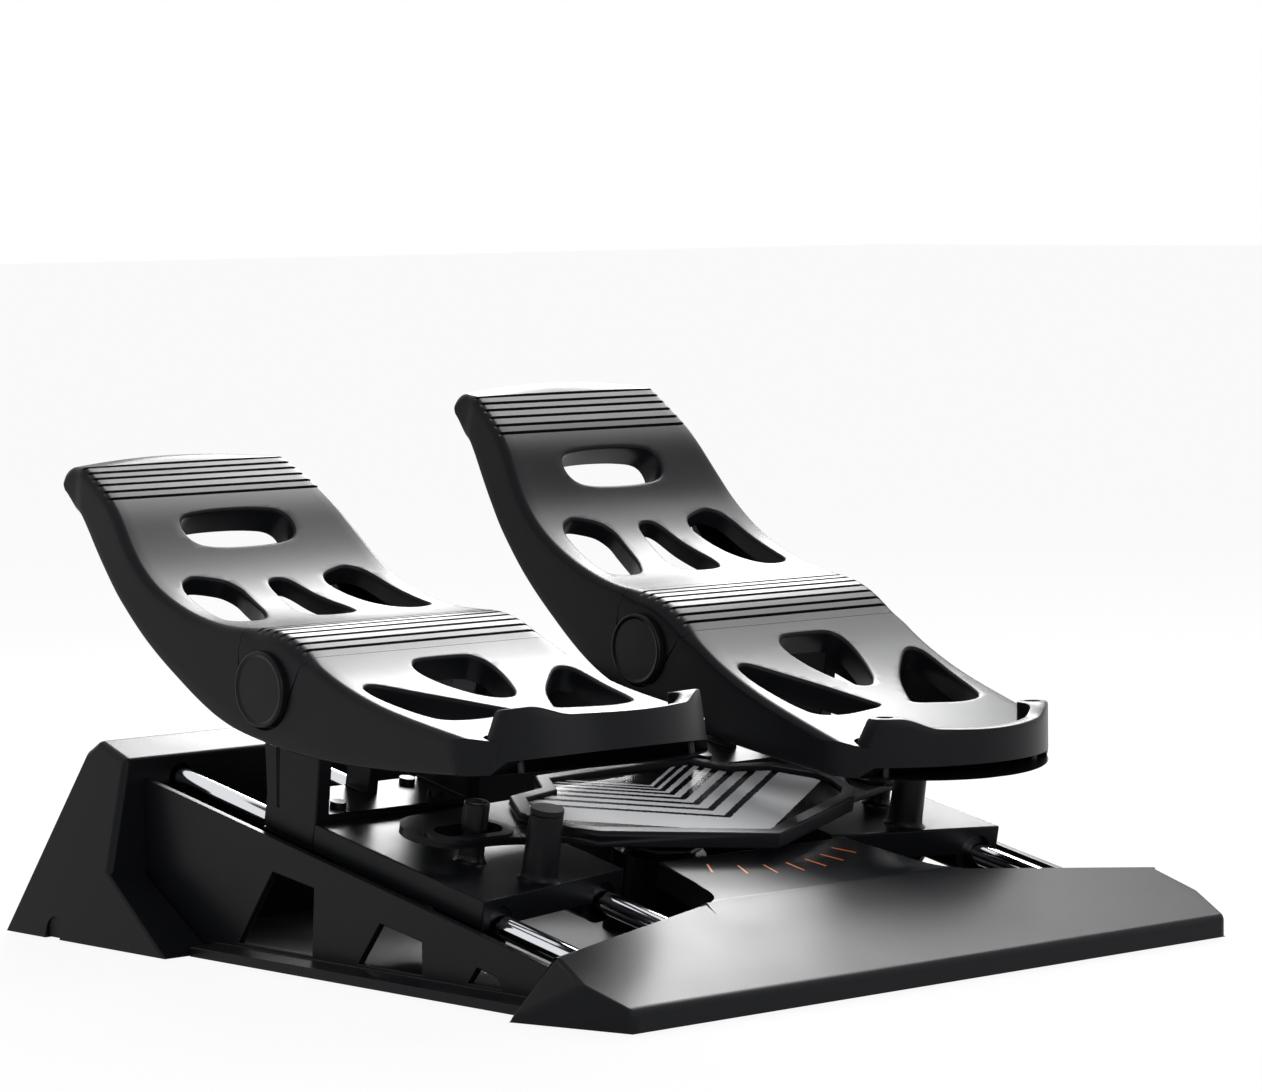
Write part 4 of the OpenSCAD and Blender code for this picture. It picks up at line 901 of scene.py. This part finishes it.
def hinge_band(gap):
    """The strip over the hinge, seen from the side, from above the top to a wall below it."""
    def widened(line):
        (u0, v0), (u1, v1) = line[0], line[-1]
        return [(u0 + gap, v0)] + line[1:-1] + [(u1 - gap, v1)]
    return widened(hinge_line(-BAND_OVER)) + widened(hinge_line(WALL + gap))[::-1]


# The heel cup

CUP_R = 63.0
CUP_MID_U = -68.0
CUP_WALL = 5.4
CUP_END_R = 5.76
CUP_SCREW_X = 37.9
CUP_SCREW_U = -110.9
CUP_SCREW_R = 3.1
CUP_SCREW_V = (-27, 0)
CUP_BOSS_REACH = 10.5
CUP_FLARE = 0.17
CUP_SEAM_V = -36.0
CUP_TOP_V = -18.6
CUP_DIP = 5.0
# Where the top begins to rise to its ends, and over how much of the cup's half it does so
CUP_RISE_FROM = 0.5
CUP_RISE_OVER = 0.28
# Levels from the seam to the top, with how far the last two are drawn in to round the edge
CUP_LEVELS = {0: 0, 0.2: 0, 0.4: 0, 0.6: 0, 0.8: 0, 0.94: 0, 0.985: 0.25, 1.0: 0.7}


def cup_ring(level, gap=0.0):
    """The cup's plan at a level from 0 at the seam to 1 at the top, as points round it."""
    reach = CUP_R - CUP_END_R
    post = math.degrees(math.atan2(CUP_SCREW_X, CUP_MID_U - CUP_SCREW_U))
    end = post + math.degrees(CUP_END_R / reach)
    flare = CUP_FLARE * (1 - level)
    outer, inner = [], []
    for q in np.sin(np.linspace(-math.pi / 2, math.pi / 2, 71)):
        a = abs(q) * end
        away = math.radians(a - post) * reach
        if away > 0:
            bow = math.sqrt(max(0, CUP_END_R**2 - away**2))
            r_out, r_in = reach + bow, reach - bow
        else:
            bell = math.cos(math.pi / 2 * min(1, -away / CUP_BOSS_REACH)) ** 2
            r_out, r_in = CUP_R, CUP_R - CUP_WALL - (2 * CUP_END_R - CUP_WALL) * bell
        turn = math.radians(math.copysign(a * (1 + flare * (a / end) ** 2), q))
        for r, line in ((r_out + gap, outer), (r_in - gap, inner)):
            line.append((r * math.sin(turn), CUP_MID_U - r * math.cos(turn), abs(q)))
    return outer + inner[::-1][1:-1]


def cup_top(q):
    """The cup's top, which falls between its two ends."""
    dip = 1 - soft_step((abs(q) - CUP_RISE_FROM) / CUP_RISE_OVER)
    return CUP_TOP_V - CUP_DIP * dip * (0.8 + 0.2 * math.cos(q * math.pi))


def cup_solid(gap=0.0, tall=0.0):
    """The heel cup, or with a gap and a height the room that it needs in the tread."""
    rings = []
    for level, drawn_in in CUP_LEVELS.items():
        ring = cup_ring(level, gap)
        if drawn_in:
            flat = grown([(x, u) for x, u, _ in ring], -drawn_in)
            ring = [(a, b, q) for (a, b), (_, _, q) in zip(flat, ring)]
        rings.append([(x, u, CUP_SEAM_V + level * (cup_top(q) + tall - CUP_SEAM_V))
                      for x, u, q in ring])
    return loft_strip(rings)


def loft_strip(rings):
    """A closed solid through rings that double back, with quads across their two ends."""
    count = len(rings[0])
    faces = ring_faces(len(rings), count)
    for base in (0, (len(rings) - 1) * count):
        for j in range(count // 2):
            quad = dict.fromkeys((j, j + 1, (count - j - 1) % count, (count - j) % count))
            if len(quad) > 2:
                faces.append(tuple(base + q for q in quad))
    return make_object("strip", [p for ring in rings for p in ring], faces)


HEEL_CORNER_R = 18
# Where the hollow under the tread begins and ends, from the toe to the heel
HOLLOW_FROM = 101
HOLLOW_TO = -103.5
HOLLOW_BEYOND = 14
HOLLOW_EDGE_R = 1.5
CHEEK_PROUD = 2.0
CUP_ROOM = (0.08, 8)


def heel_plan():
    """The pedal's plan, whose heel follows the cup and turns into each side in a soft corner."""
    edge_x = HALF_W + 0.05
    mid_x = edge_x - HEEL_CORNER_R
    reach = CUP_R - HEEL_CORNER_R
    mid_u = CUP_MID_U - math.sqrt(reach**2 - mid_x**2)
    turn = math.degrees(math.asin(mid_x / reach))
    half = [(0, CUP_MID_U - CUP_R)] + arc(0, CUP_MID_U, CUP_R, -88, -90 + turn, 40)
    half += arc(mid_x, mid_u, HEEL_CORNER_R, -90 + turn, 0, 14)[1:]
    half += [(edge_x, 130)]
    return half + [(-x, u) for x, u in reversed(half[1:])]


def pedal_pieces():
    """The pedal's tread and hinge cover, in its own frame."""
    outer = pedal_solid(0.0, top_s[-1])
    combine(outer, prism(heel_plan(), -PAST, 2 * PAST), "INTERSECT")

    cavity = pedal_solid(top_place(HOLLOW_FROM), top_place(HOLLOW_TO), drop=WALL, inset=WALL,
                         beyond=HOLLOW_BEYOND, edge_r=HOLLOW_EDGE_R, cut=False, wide_n=12)
    shell = combine(copied(outer), cavity, "DIFFERENCE")
    plugs = [collar(window, side, TOE_COLLAR_DEEP if window is TOE_WINDOW else MID_COLLAR_DEEP)
             for window, side in TOE_WINDOWS]
    plugs += [collar(window, side, HEEL_COLLAR_DEEP) for window, side in HEEL_WINDOWS]
    plugs.append(both(prism(grown(teardrop(0), CHEEK_PROUD), HALF_W - 2 * WALL, HALF_W - WALL / 2,
                            "side")))
    for plug in plugs:
        combine(shell, combine(plug, outer, "INTERSECT", keep=True), "UNION")
    for window, side in TOE_WINDOWS + HEEL_WINDOWS:
        combine(shell, window_solid(window, side, 0, RIM_R, WINDOW_CUT_DEEP, True), "DIFFERENCE")
    combine(shell, prism(hinge_band(SEAM), -PAST, PAST, "side"), "DIFFERENCE")
    plate = prism(teardrop(SEAM), HALF_W - WALL - 0.05, PAST, "side")
    combine(shell, both(plate), "DIFFERENCE")
    combine(shell, cup_solid(*CUP_ROOM), "DIFFERENCE")

    cover = prism(hinge_band(0), -PAST, PAST, "side")
    combine(cover, both(prism(teardrop(0), HALF_W - WALL, PAST, "side")), "UNION")
    combine(cover, outer, "INTERSECT")
    return shell, cover


PANEL_U = (31, 102)
PANEL_DEEP = (0.2, 2.7)
PANEL_OPEN_X = 41
PANEL_OPEN_V = (4, 71)
PANEL_OPEN_R = 9
PANEL_FIT = 0.3
# Past the panel, from the axis to the rear
PANEL_PAST = (0, 140)


def toe_back_piece():
    """The frame that stiffens the toe from behind, open in the middle so that light passes."""
    edge = back_line[(back_line[:, 0] < PANEL_U[1]) & (back_line[:, 0] > PANEL_U[0])]
    rings = []
    for i in range(0, len(edge), 3):
        ahead = edge[min(i + 2, len(edge) - 1)] - edge[max(i - 2, 0)]
        into = np.array([ahead[1], -ahead[0]]) / np.linalg.norm(ahead)
        low, high = (edge[i] + into * deep for deep in PANEL_DEEP)
        rings.append([(side * (np.interp(p[1], width_v, width_x) - WALL - PANEL_FIT), p[0], p[1])
                      for side, p in ((-1, low), (1, low), (1, high), (-1, high))])
    opening = oblong(-PANEL_OPEN_X, PANEL_OPEN_V[0], PANEL_OPEN_X, PANEL_OPEN_V[1])
    opening = corners_cut(opening, PANEL_OPEN_R)
    return combine(loft(rings), prism(opening, *PANEL_PAST, "front"), "DIFFERENCE")


def pivot_cap():
    """A round cap with a raised rim, along X from the pedal's side."""
    tall = CAP_OUT_X - HALF_W
    rim = [(0, 0), (CAP_R, 0), (CAP_R, tall - 1.0)]
    rim += [(CAP_R - 1 + math.cos(a), tall - 1 + math.sin(a))
            for a in np.linspace(0.25, math.pi / 2, 5)]
    rim += [(CAP_R - 1.4, tall - 0.1), (CAP_R - 1.9, tall - 0.5), (CAP_R - 2.3, tall - 0.6)]
    rim += [(CAP_R - 6, tall - 0.55), (0.5, tall - 0.5), (0, tall - 0.5)]
    turn = Matrix.Translation((HALF_W, 0, 0)) @ Matrix.Rotation(math.pi / 2, 4, "Y")
    return moved(spun(rim, 96), turn)


def build_pedals():
    """Both pedals, from one set of solids that the left side mirrors."""
    shell, cover = pedal_pieces()
    cup = cup_solid()
    hole = both(moved(prism(arc(0, 0, CUP_SCREW_R, 0, 337.5, 15), *CUP_SCREW_V),
                      Matrix.Translation((CUP_SCREW_X, CUP_SCREW_U, 0))))
    combine(cup, hole, "DIFFERENCE")
    pieces = [(shell, "pedal_tread", "black_plastic", "pedal_shell"),
              (cover, "ribbed_hinge_cover", "black_plastic", "hinge_cover"),
              (toe_back_piece(), "toe_rear_panel", "dark_plastic", "toe_back_cover"),
              (cup, "heel_rest", "black_plastic", "heel_cup"),
              (both(pivot_cap()), "axis_caps", "dark_plastic", "pivot_caps")]
    for name, side in SIDES.items():
        for solid, piece, slot, node in pieces:
            finished(copied(solid), f"{name}_{piece}", on_pedal(side), f"{name}_pedal", slot,
                     [f"{name}_{node}"], weighted=piece == "axis_caps")
    for solid, *_ in pieces:
        bpy.data.objects.remove(solid)


# The covers, in the base's frame: X, depth from the front lip, height over the floor

LIP_X = 142
LIP_Z = 8.3
TIP = (155, 47)
BACK_CORNER = (143, 35.7)
TONGUE_ROOT = (52.5, 54)
TONGUE_END_X = 44.5
TONGUE_END_T = 99.2
TONGUE_H = 14
TONGUE_SKIRT = 9
TONGUE_UNDER = 14
SWEEP = 9
SWEEP_PULL = 0.08
CORNER_Z = 22.32
WEDGE_RISE = 0.39269
WEDGE_DEEP = 120
COVER_SKIN = 3
FLOOR_GAP = 1.0
# Past the covers at each side, under them and over them
OUT_X = 160
UNDER_Z = -5
OVER_Z = 60
# Round one of the tongue's corners, for the swept form there
SWEEP_ROOM = (46.5, 40, 64.5, 70)
SWEEP_Z = 14
# Radii of the covers' edges, by where they are
FLOOR_EDGE_R = 0.25
LIP_EDGE_R = 3.0
END_EDGE_R = 1.6
PLAIN_EDGE_R = 0.9
SHORT_EDGE = 4
END_EDGE = 10
END_EDGE_X = 138


def front_cover_form():
    """The outer form of the front cover: a wedge with slanted ends and a tongue, edges rounded."""
    top_z = LIP_Z + WEDGE_RISE * WEDGE_DEEP
    plane = [(0, FLOOR_GAP), (0, LIP_Z), (WEDGE_DEEP, top_z), (WEDGE_DEEP, FLOOR_GAP)]
    plan = [(LIP_X, 0), TIP, BACK_CORNER, TONGUE_ROOT]
    plan += [(-x, y) for x, y in reversed(plan)]
    end_x = BACK_CORNER[0]
    ends = [(-TIP[0], FLOOR_GAP), (TIP[0], FLOOR_GAP), (end_x, CORNER_Z), (end_x, OVER_Z),
            (-end_x, OVER_Z), (-end_x, CORNER_Z)]
    wedge = combine(prism(plane, -OUT_X, OUT_X, "side"), prism(plan, UNDER_Z, OVER_Z), "INTERSECT")
    combine(wedge, prism(ends, UNDER_Z, WEDGE_DEEP, "front"), "INTERSECT")
    back_run = (Vector(BACK_CORNER) - Vector(TONGUE_ROOT)).normalized()
    # The tongue's root in the slope's frame, where depth runs along the slope
    root_t = (TONGUE_ROOT[1] + TONGUE_H * math.sin(SLOPE)) / math.cos(SLOPE)
    root = Vector((TONGUE_ROOT[0], root_t))
    side_run = (Vector((TONGUE_END_X, TONGUE_END_T)) - root).normalized()
    start, end = root + back_run * SWEEP, root + side_run * SWEEP
    corner = root + (start - root) * SWEEP_PULL
    half = [quadratic(start, corner, end, k) for k in np.linspace(0, 1, 7)]
    half.append((TONGUE_END_X, TONGUE_END_T))
    outline = [(x, start.y - TONGUE_UNDER) for x in (-start.x, start.x)]
    outline += half + [(-x, y) for x, y in reversed(half)]
    tongue = prism(outline, TONGUE_H - TONGUE_SKIRT, TONGUE_H)
    moved(tongue, stand().inverted() @ on_slope())
    combine(tongue, prism(plane, -OUT_X, OUT_X, "side"), "INTERSECT")
    combine(wedge, tongue, "UNION")

    def radii(at, run):
        if at.z < FLOOR_GAP + 0.5:
            return FLOOR_EDGE_R
        if at.y < 1:
            return LIP_EDGE_R
        if abs(at.x) > END_EDGE_X and run.length > END_EDGE:
            return END_EDGE_R
        return PLAIN_EDGE_R if run.length > SHORT_EDGE else 0

    return eased(wedge, radii, 4)


def front_cover_piece():
    """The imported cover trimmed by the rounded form, with the tongue's corners swept into it."""
    cover = moved(node_solid("front_cover"), stand().inverted())
    form = front_cover_form()
    combine(cover, form, "INTERSECT", keep=True)
    sweep = both(prism(oblong(*SWEEP_ROOM), SWEEP_Z, OVER_Z))
    under = moved(copied(form), Matrix.Translation((0, 0, -COVER_SKIN)))
    combine(sweep, under, "DIFFERENCE")
    combine(sweep, form, "INTERSECT")
    return combine(cover, sweep, "UNION")


WALL_Y = 271
CREST = (289, 72.5)
SHOULDER = (294, 69)
WALL_Z = 67.0
EAR_Y = 231
EAR_Z = 26.5
EAR_IN_X = 134
LEAN = 15.2 / CREST[1]
# Where the leaning edges are, and from what height the top's edges are
LEANING_X = 128
TOP_Z = 60
REAR_FACE_EDGE_R = 0.7
LEANING_EDGE_R = 2.4
TOP_EDGE_R = 1.5
EAR_EDGE_R = 1.0


def rear_cover_form():
    """The outer form of the rear cover: a block whose ends lean in, with an ear at each side."""
    def leaning(outline, inside):
        return slab([(inside, y, z) for y, z in outline],
                    [(TIP[0] - LEAN * z, y, z) for y, z in outline])

    block = [(WALL_Y, FLOOR_GAP), (WALL_Y, WALL_Z), CREST, SHOULDER, (BASE_D, FLOOR_GAP)]
    ear = [(EAR_Y, FLOOR_GAP), (WALL_Y, EAR_Z), (WALL_Y + 5, EAR_Z), (WALL_Y + 5, FLOOR_GAP)]
    form = both(combine(leaning(block, -1), leaning(ear, EAR_IN_X), "UNION"))

    def radii(at, run):
        if at.z < FLOOR_GAP + 0.5:
            return FLOOR_EDGE_R
        if run.length < SHORT_EDGE:
            return 0
        if at.y > SHOULDER[0] + 2:
            return REAR_FACE_EDGE_R
        if abs(at.x) > LEANING_X and at.z > EAR_Z + 2:
            return LEANING_EDGE_R
        return TOP_EDGE_R if at.z > TOP_Z else EAR_EDGE_R

    return eased(form, radii, 4)


def rear_cover_piece():
    """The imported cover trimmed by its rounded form."""
    cover = moved(node_solid("rear_cover"), stand().inverted())
    return combine(cover, rear_cover_form(), "INTERSECT")


NOTCH_BACK = 29
NOTCH_R = 4.5
# Where across the dark plug lies, and how high its foot is. The plug is painted shade in the lead's
# outlet.
SHADE_PLUG_X = (-152.6, -148.5)
SHADE_PLUG_FOOT_Z = 1.2


def outlet_shade_plug():
    """A dark rubber plug that fills the outlet for the lead, a little way in from the end face. It is
    painted shade: a dark piece standing in for the shade inside the outlet.
    """
    y = BASE_D - NOTCH_BACK
    fit = NOTCH_R - 0.05
    outline = [(y + fit, SHADE_PLUG_FOOT_Z)] + arc(y, NOTCH_R, fit, 0, 180, 16) + [(y - fit, SHADE_PLUG_FOOT_Z)]
    return prism(outline, *SHADE_PLUG_X, "side")


# Posts and pins, along the slope's upward direction

DECK_H = 9.7
POST_EDGE_R = 0.9
# Place across and along, radius at the foot and at the top, and height
HEEL_POST = (90, 111.3, 6.3, 5.8, 23.4)
DRIVE_PIN = (100, 136, 4.5, 4.5, 21.3)


def turned_post(at_x, at_t, foot_r, top_r, tall):
    """A moulded post with a small foot, drawn in a little to a rounded top."""
    edge = POST_EDGE_R
    foot = [(1.5, 0), (0.9, 0.35), (0.4, 1.0), (0.1, 2.0), (0, 3.2)]
    profile = [(0, 0)] + [(foot_r + out, h) for out, h in foot] + [(top_r, tall - edge)]
    profile += [(top_r - edge * (1 - math.cos(a)), tall - edge * (1 - math.sin(a)))
                for a in np.linspace(0, math.pi / 2, 5)[1:]]
    dish = tall - 0.3
    profile += [(top_r - 2.4, tall), (top_r - 2.7, dish), (0.5, dish), (0, dish)]
    return moved(spun(profile, 64), Matrix.Translation((at_x, at_t, DECK_H)))


RING_W = 3.6
RING_UP = 1.3
ARM_TOP_H = 20
SLOT_X = (95, 110.4)
SLOT_LEAD = -10
SLOT_R = 6.2


def slot_ring():
    """A raised lip round a rocker slot."""
    def capsule(r):
        return (arc(SLOT_X[1], SLOT_LEAD, r, -90, 90, 20)
                + arc(SLOT_X[0], SLOT_LEAD, r, 90, 270, 20))
    ring = prism(capsule(SLOT_R + RING_W), ARM_TOP_H - 0.5, ARM_TOP_H + RING_UP)
    return combine(ring, prism(capsule(SLOT_R), 0, 2 * ARM_TOP_H), "DIFFERENCE")


TRAY_WALL_X = 129
TRAY_FLOOR_Z = 2
TRAY_EDGE = 3
TRAY_EDGE_R = 0.5
PART_EDGE = 9
PART_EDGE_R = 0.7


def wall_edges(at, run):
    """Rounds the edges of the tray's side walls, their windows and its flange."""
    wall = abs(at.x) > TRAY_WALL_X and at.z > TRAY_FLOOR_Z
    return TRAY_EDGE_R if wall and run.length > TRAY_EDGE else 0


def long_edges(at, run):
    """Rounds every edge but the short ones."""
    return PART_EDGE_R if run.length > PART_EDGE else 0


TICK_MID_T = 140
TICK_R = (58, 67)
TICK_W = 0.7
TICK_H = (-0.3, 0.12)
TICK_TURNS = [-31, -20, -10, 0, 10, 20, 31]


def build_ticks():
    """Seven fine printed marks on the tongue, fanned about the rocker."""
    marks = None
    for turn in TICK_TURNS:
        mark = prism(oblong(-TICK_W / 2, -TICK_R[1], TICK_W / 2, -TICK_R[0]), *TICK_H)
        moved(mark, Matrix.Translation((0, TICK_MID_T, TONGUE_H))
              @ Matrix.Rotation(math.radians(turn), 4, "Z"))
        marks = combine(marks, mark, "UNION") if marks else mark
    finished(marks, "printed_marks", on_slope(), "base", "graphic_plate", material=TICK_INK,
             weighted=False)


BROAD_SHARP = 40


def build_base():
    """The tray, its covers, the rocker and both carriages."""
    build_ticks()
    black = {"slot": "black_plastic", "sharp": BROAD_SHARP}
    finished(front_cover_piece(), "front_wedge_cover", stand(), "base", nodes=["front_cover"], **black)
    finished(rear_cover_piece(), "rear_block_cover", stand(), "base", nodes=["rear_cover"], **black)
    # The outlet's dark rubber plug is painted shade, put where the outlet would only be shaded.
    finished(outlet_shade_plug(), "lead_outlet_shade_plug", stand(), "base", "rubber", weighted=False)
    tray = eased(node_solid("base_frame"), wall_edges)
    finished(tray, "floor_tray", Matrix(), "base", nodes=["base_frame"], **black)
    arm = moved(node_solid("rocker_plate"), on_rocker().inverted())
    arm = eased(combine(arm, both(slot_ring()), "UNION"), long_edges)
    finished(arm, "rocker_arm", on_rocker(), "rocker", nodes=["rocker_plate"], **black)
    for name, side in SIDES.items():
        body = f"{name}_carriage"
        for node, piece in (("carriage", "sled"), ("pedal_bracket", "pedal_stand")):
            form = eased(node_solid(f"{name}_{node}"), long_edges)
            finished(form, f"{name}_{piece}", Matrix(), body, nodes=[f"{name}_{node}"], **black)
        for sizes, piece, slot, node in ((HEEL_POST, "heel_stop", "black_plastic", "heel_post"),
                                         (DRIVE_PIN, "rocker_pin", "dark_plastic", "drive_pin")):
            finished(turned_post(*sizes), f"{name}_{piece}", on_carriage(side), body, slot,
                     [f"{name}_{node}"], weighted=False)


# Stage and light


FLOOR_HALF = 14
FLOOR_GLOW = 0.93
ROOM_AS_LAMP = 0.3


def seen_directly(tree):
    """1 for what the camera, gloss or glass sees, and 0 for what only lights the object."""
    path = add(tree, "ShaderNodeLightPath", {}).outputs
    seen = add(tree, "ShaderNodeMath", {0: path["Is Camera Ray"], 1: path["Is Glossy Ray"]},
               operation="MAXIMUM")
    return add(tree, "ShaderNodeMath", {0: seen.outputs[0], 1: path["Is Transmission Ray"]},
               operation="MAXIMUM").outputs[0]


def make_stage():
    """A pale floor, nearly white to the camera, which keeps the shadow."""
    corners = oblong(-FLOOR_HALF, -FLOOR_HALF, FLOOR_HALF, FLOOR_HALF)
    floor = make_object("floor", [(x, y, 0) for x, y in corners], [(0, 1, 2, 3)])
    material, tree, shader = new_material("floor_paper", Base_Color=linear("fdfdfd"), Roughness=0.9,
                                          Specular_IOR_Level=0.0)
    share = add(tree, "ShaderNodeMath", {0: seen_directly(tree), 1: FLOOR_GLOW},
                operation="MULTIPLY")
    glow = add(tree, "ShaderNodeEmission", {"Color": (1, 1, 1, 1), "Strength": 1})
    mix = add(tree, "ShaderNodeMixShader",
              {0: share.outputs[0], 1: shader.outputs[0], 2: glow.outputs[0]})
    tree.links.new(mix.outputs[0], tree.nodes["Material Output"].inputs["Surface"])
    floor.data.materials.append(material)


def make_world():
    """An even white room: full white to the camera, gloss and glass, and dimmer as a lamp."""
    world = bpy.data.worlds.new("studio")
    bpy.context.scene.world = world
    world.use_nodes = True
    tree = world.node_tree
    level = add(tree, "ShaderNodeMapRange",
                {"Value": seen_directly(tree), "To Min": ROOM_AS_LAMP, "To Max": 1.0})
    background = tree.nodes["Background"]
    background.inputs["Color"].default_value = (1, 1, 1, 1)
    tree.links.new(level.outputs[0], background.inputs["Strength"])


def area_lamp(name, at, towards, size, watts):
    """A softbox: its first size runs level, and its second up and down."""
    data = bpy.data.lights.new(name, "AREA")
    data.shape = "RECTANGLE"
    data.size, data.size_y = size
    data.energy = watts
    lamp = bpy.data.objects.new(name, data)
    bpy.context.scene.collection.objects.link(lamp)
    aim = Vector(towards) - Vector(at)
    lamp.matrix_world = Matrix.Translation(at) @ aim.to_track_quat("-Z", "Y").to_matrix().to_4x4()


def make_lights():
    """A softbox behind on the right for the bright tops, a weak front fill and one above."""
    area_lamp("rear_strip", (0.57, 0.55, 0.57), (-0.05, 0.05, 0.05), (0.45, 0.4), 10)
    area_lamp("front_softbox", (-0.4, -1.7, 0.8), (0, 0, 0.05), (1.0, 1.0), 7)
    area_lamp("top_softbox", (0.88, 0.34, 1.15), (-0.05, 0.02, 0.1), (0.8, 0.8), 15)


bpy.context.scene.view_settings.view_transform = "Standard"
dress_nodes()
build_pedals()
build_base()
make_stage()
make_world()
make_lights()
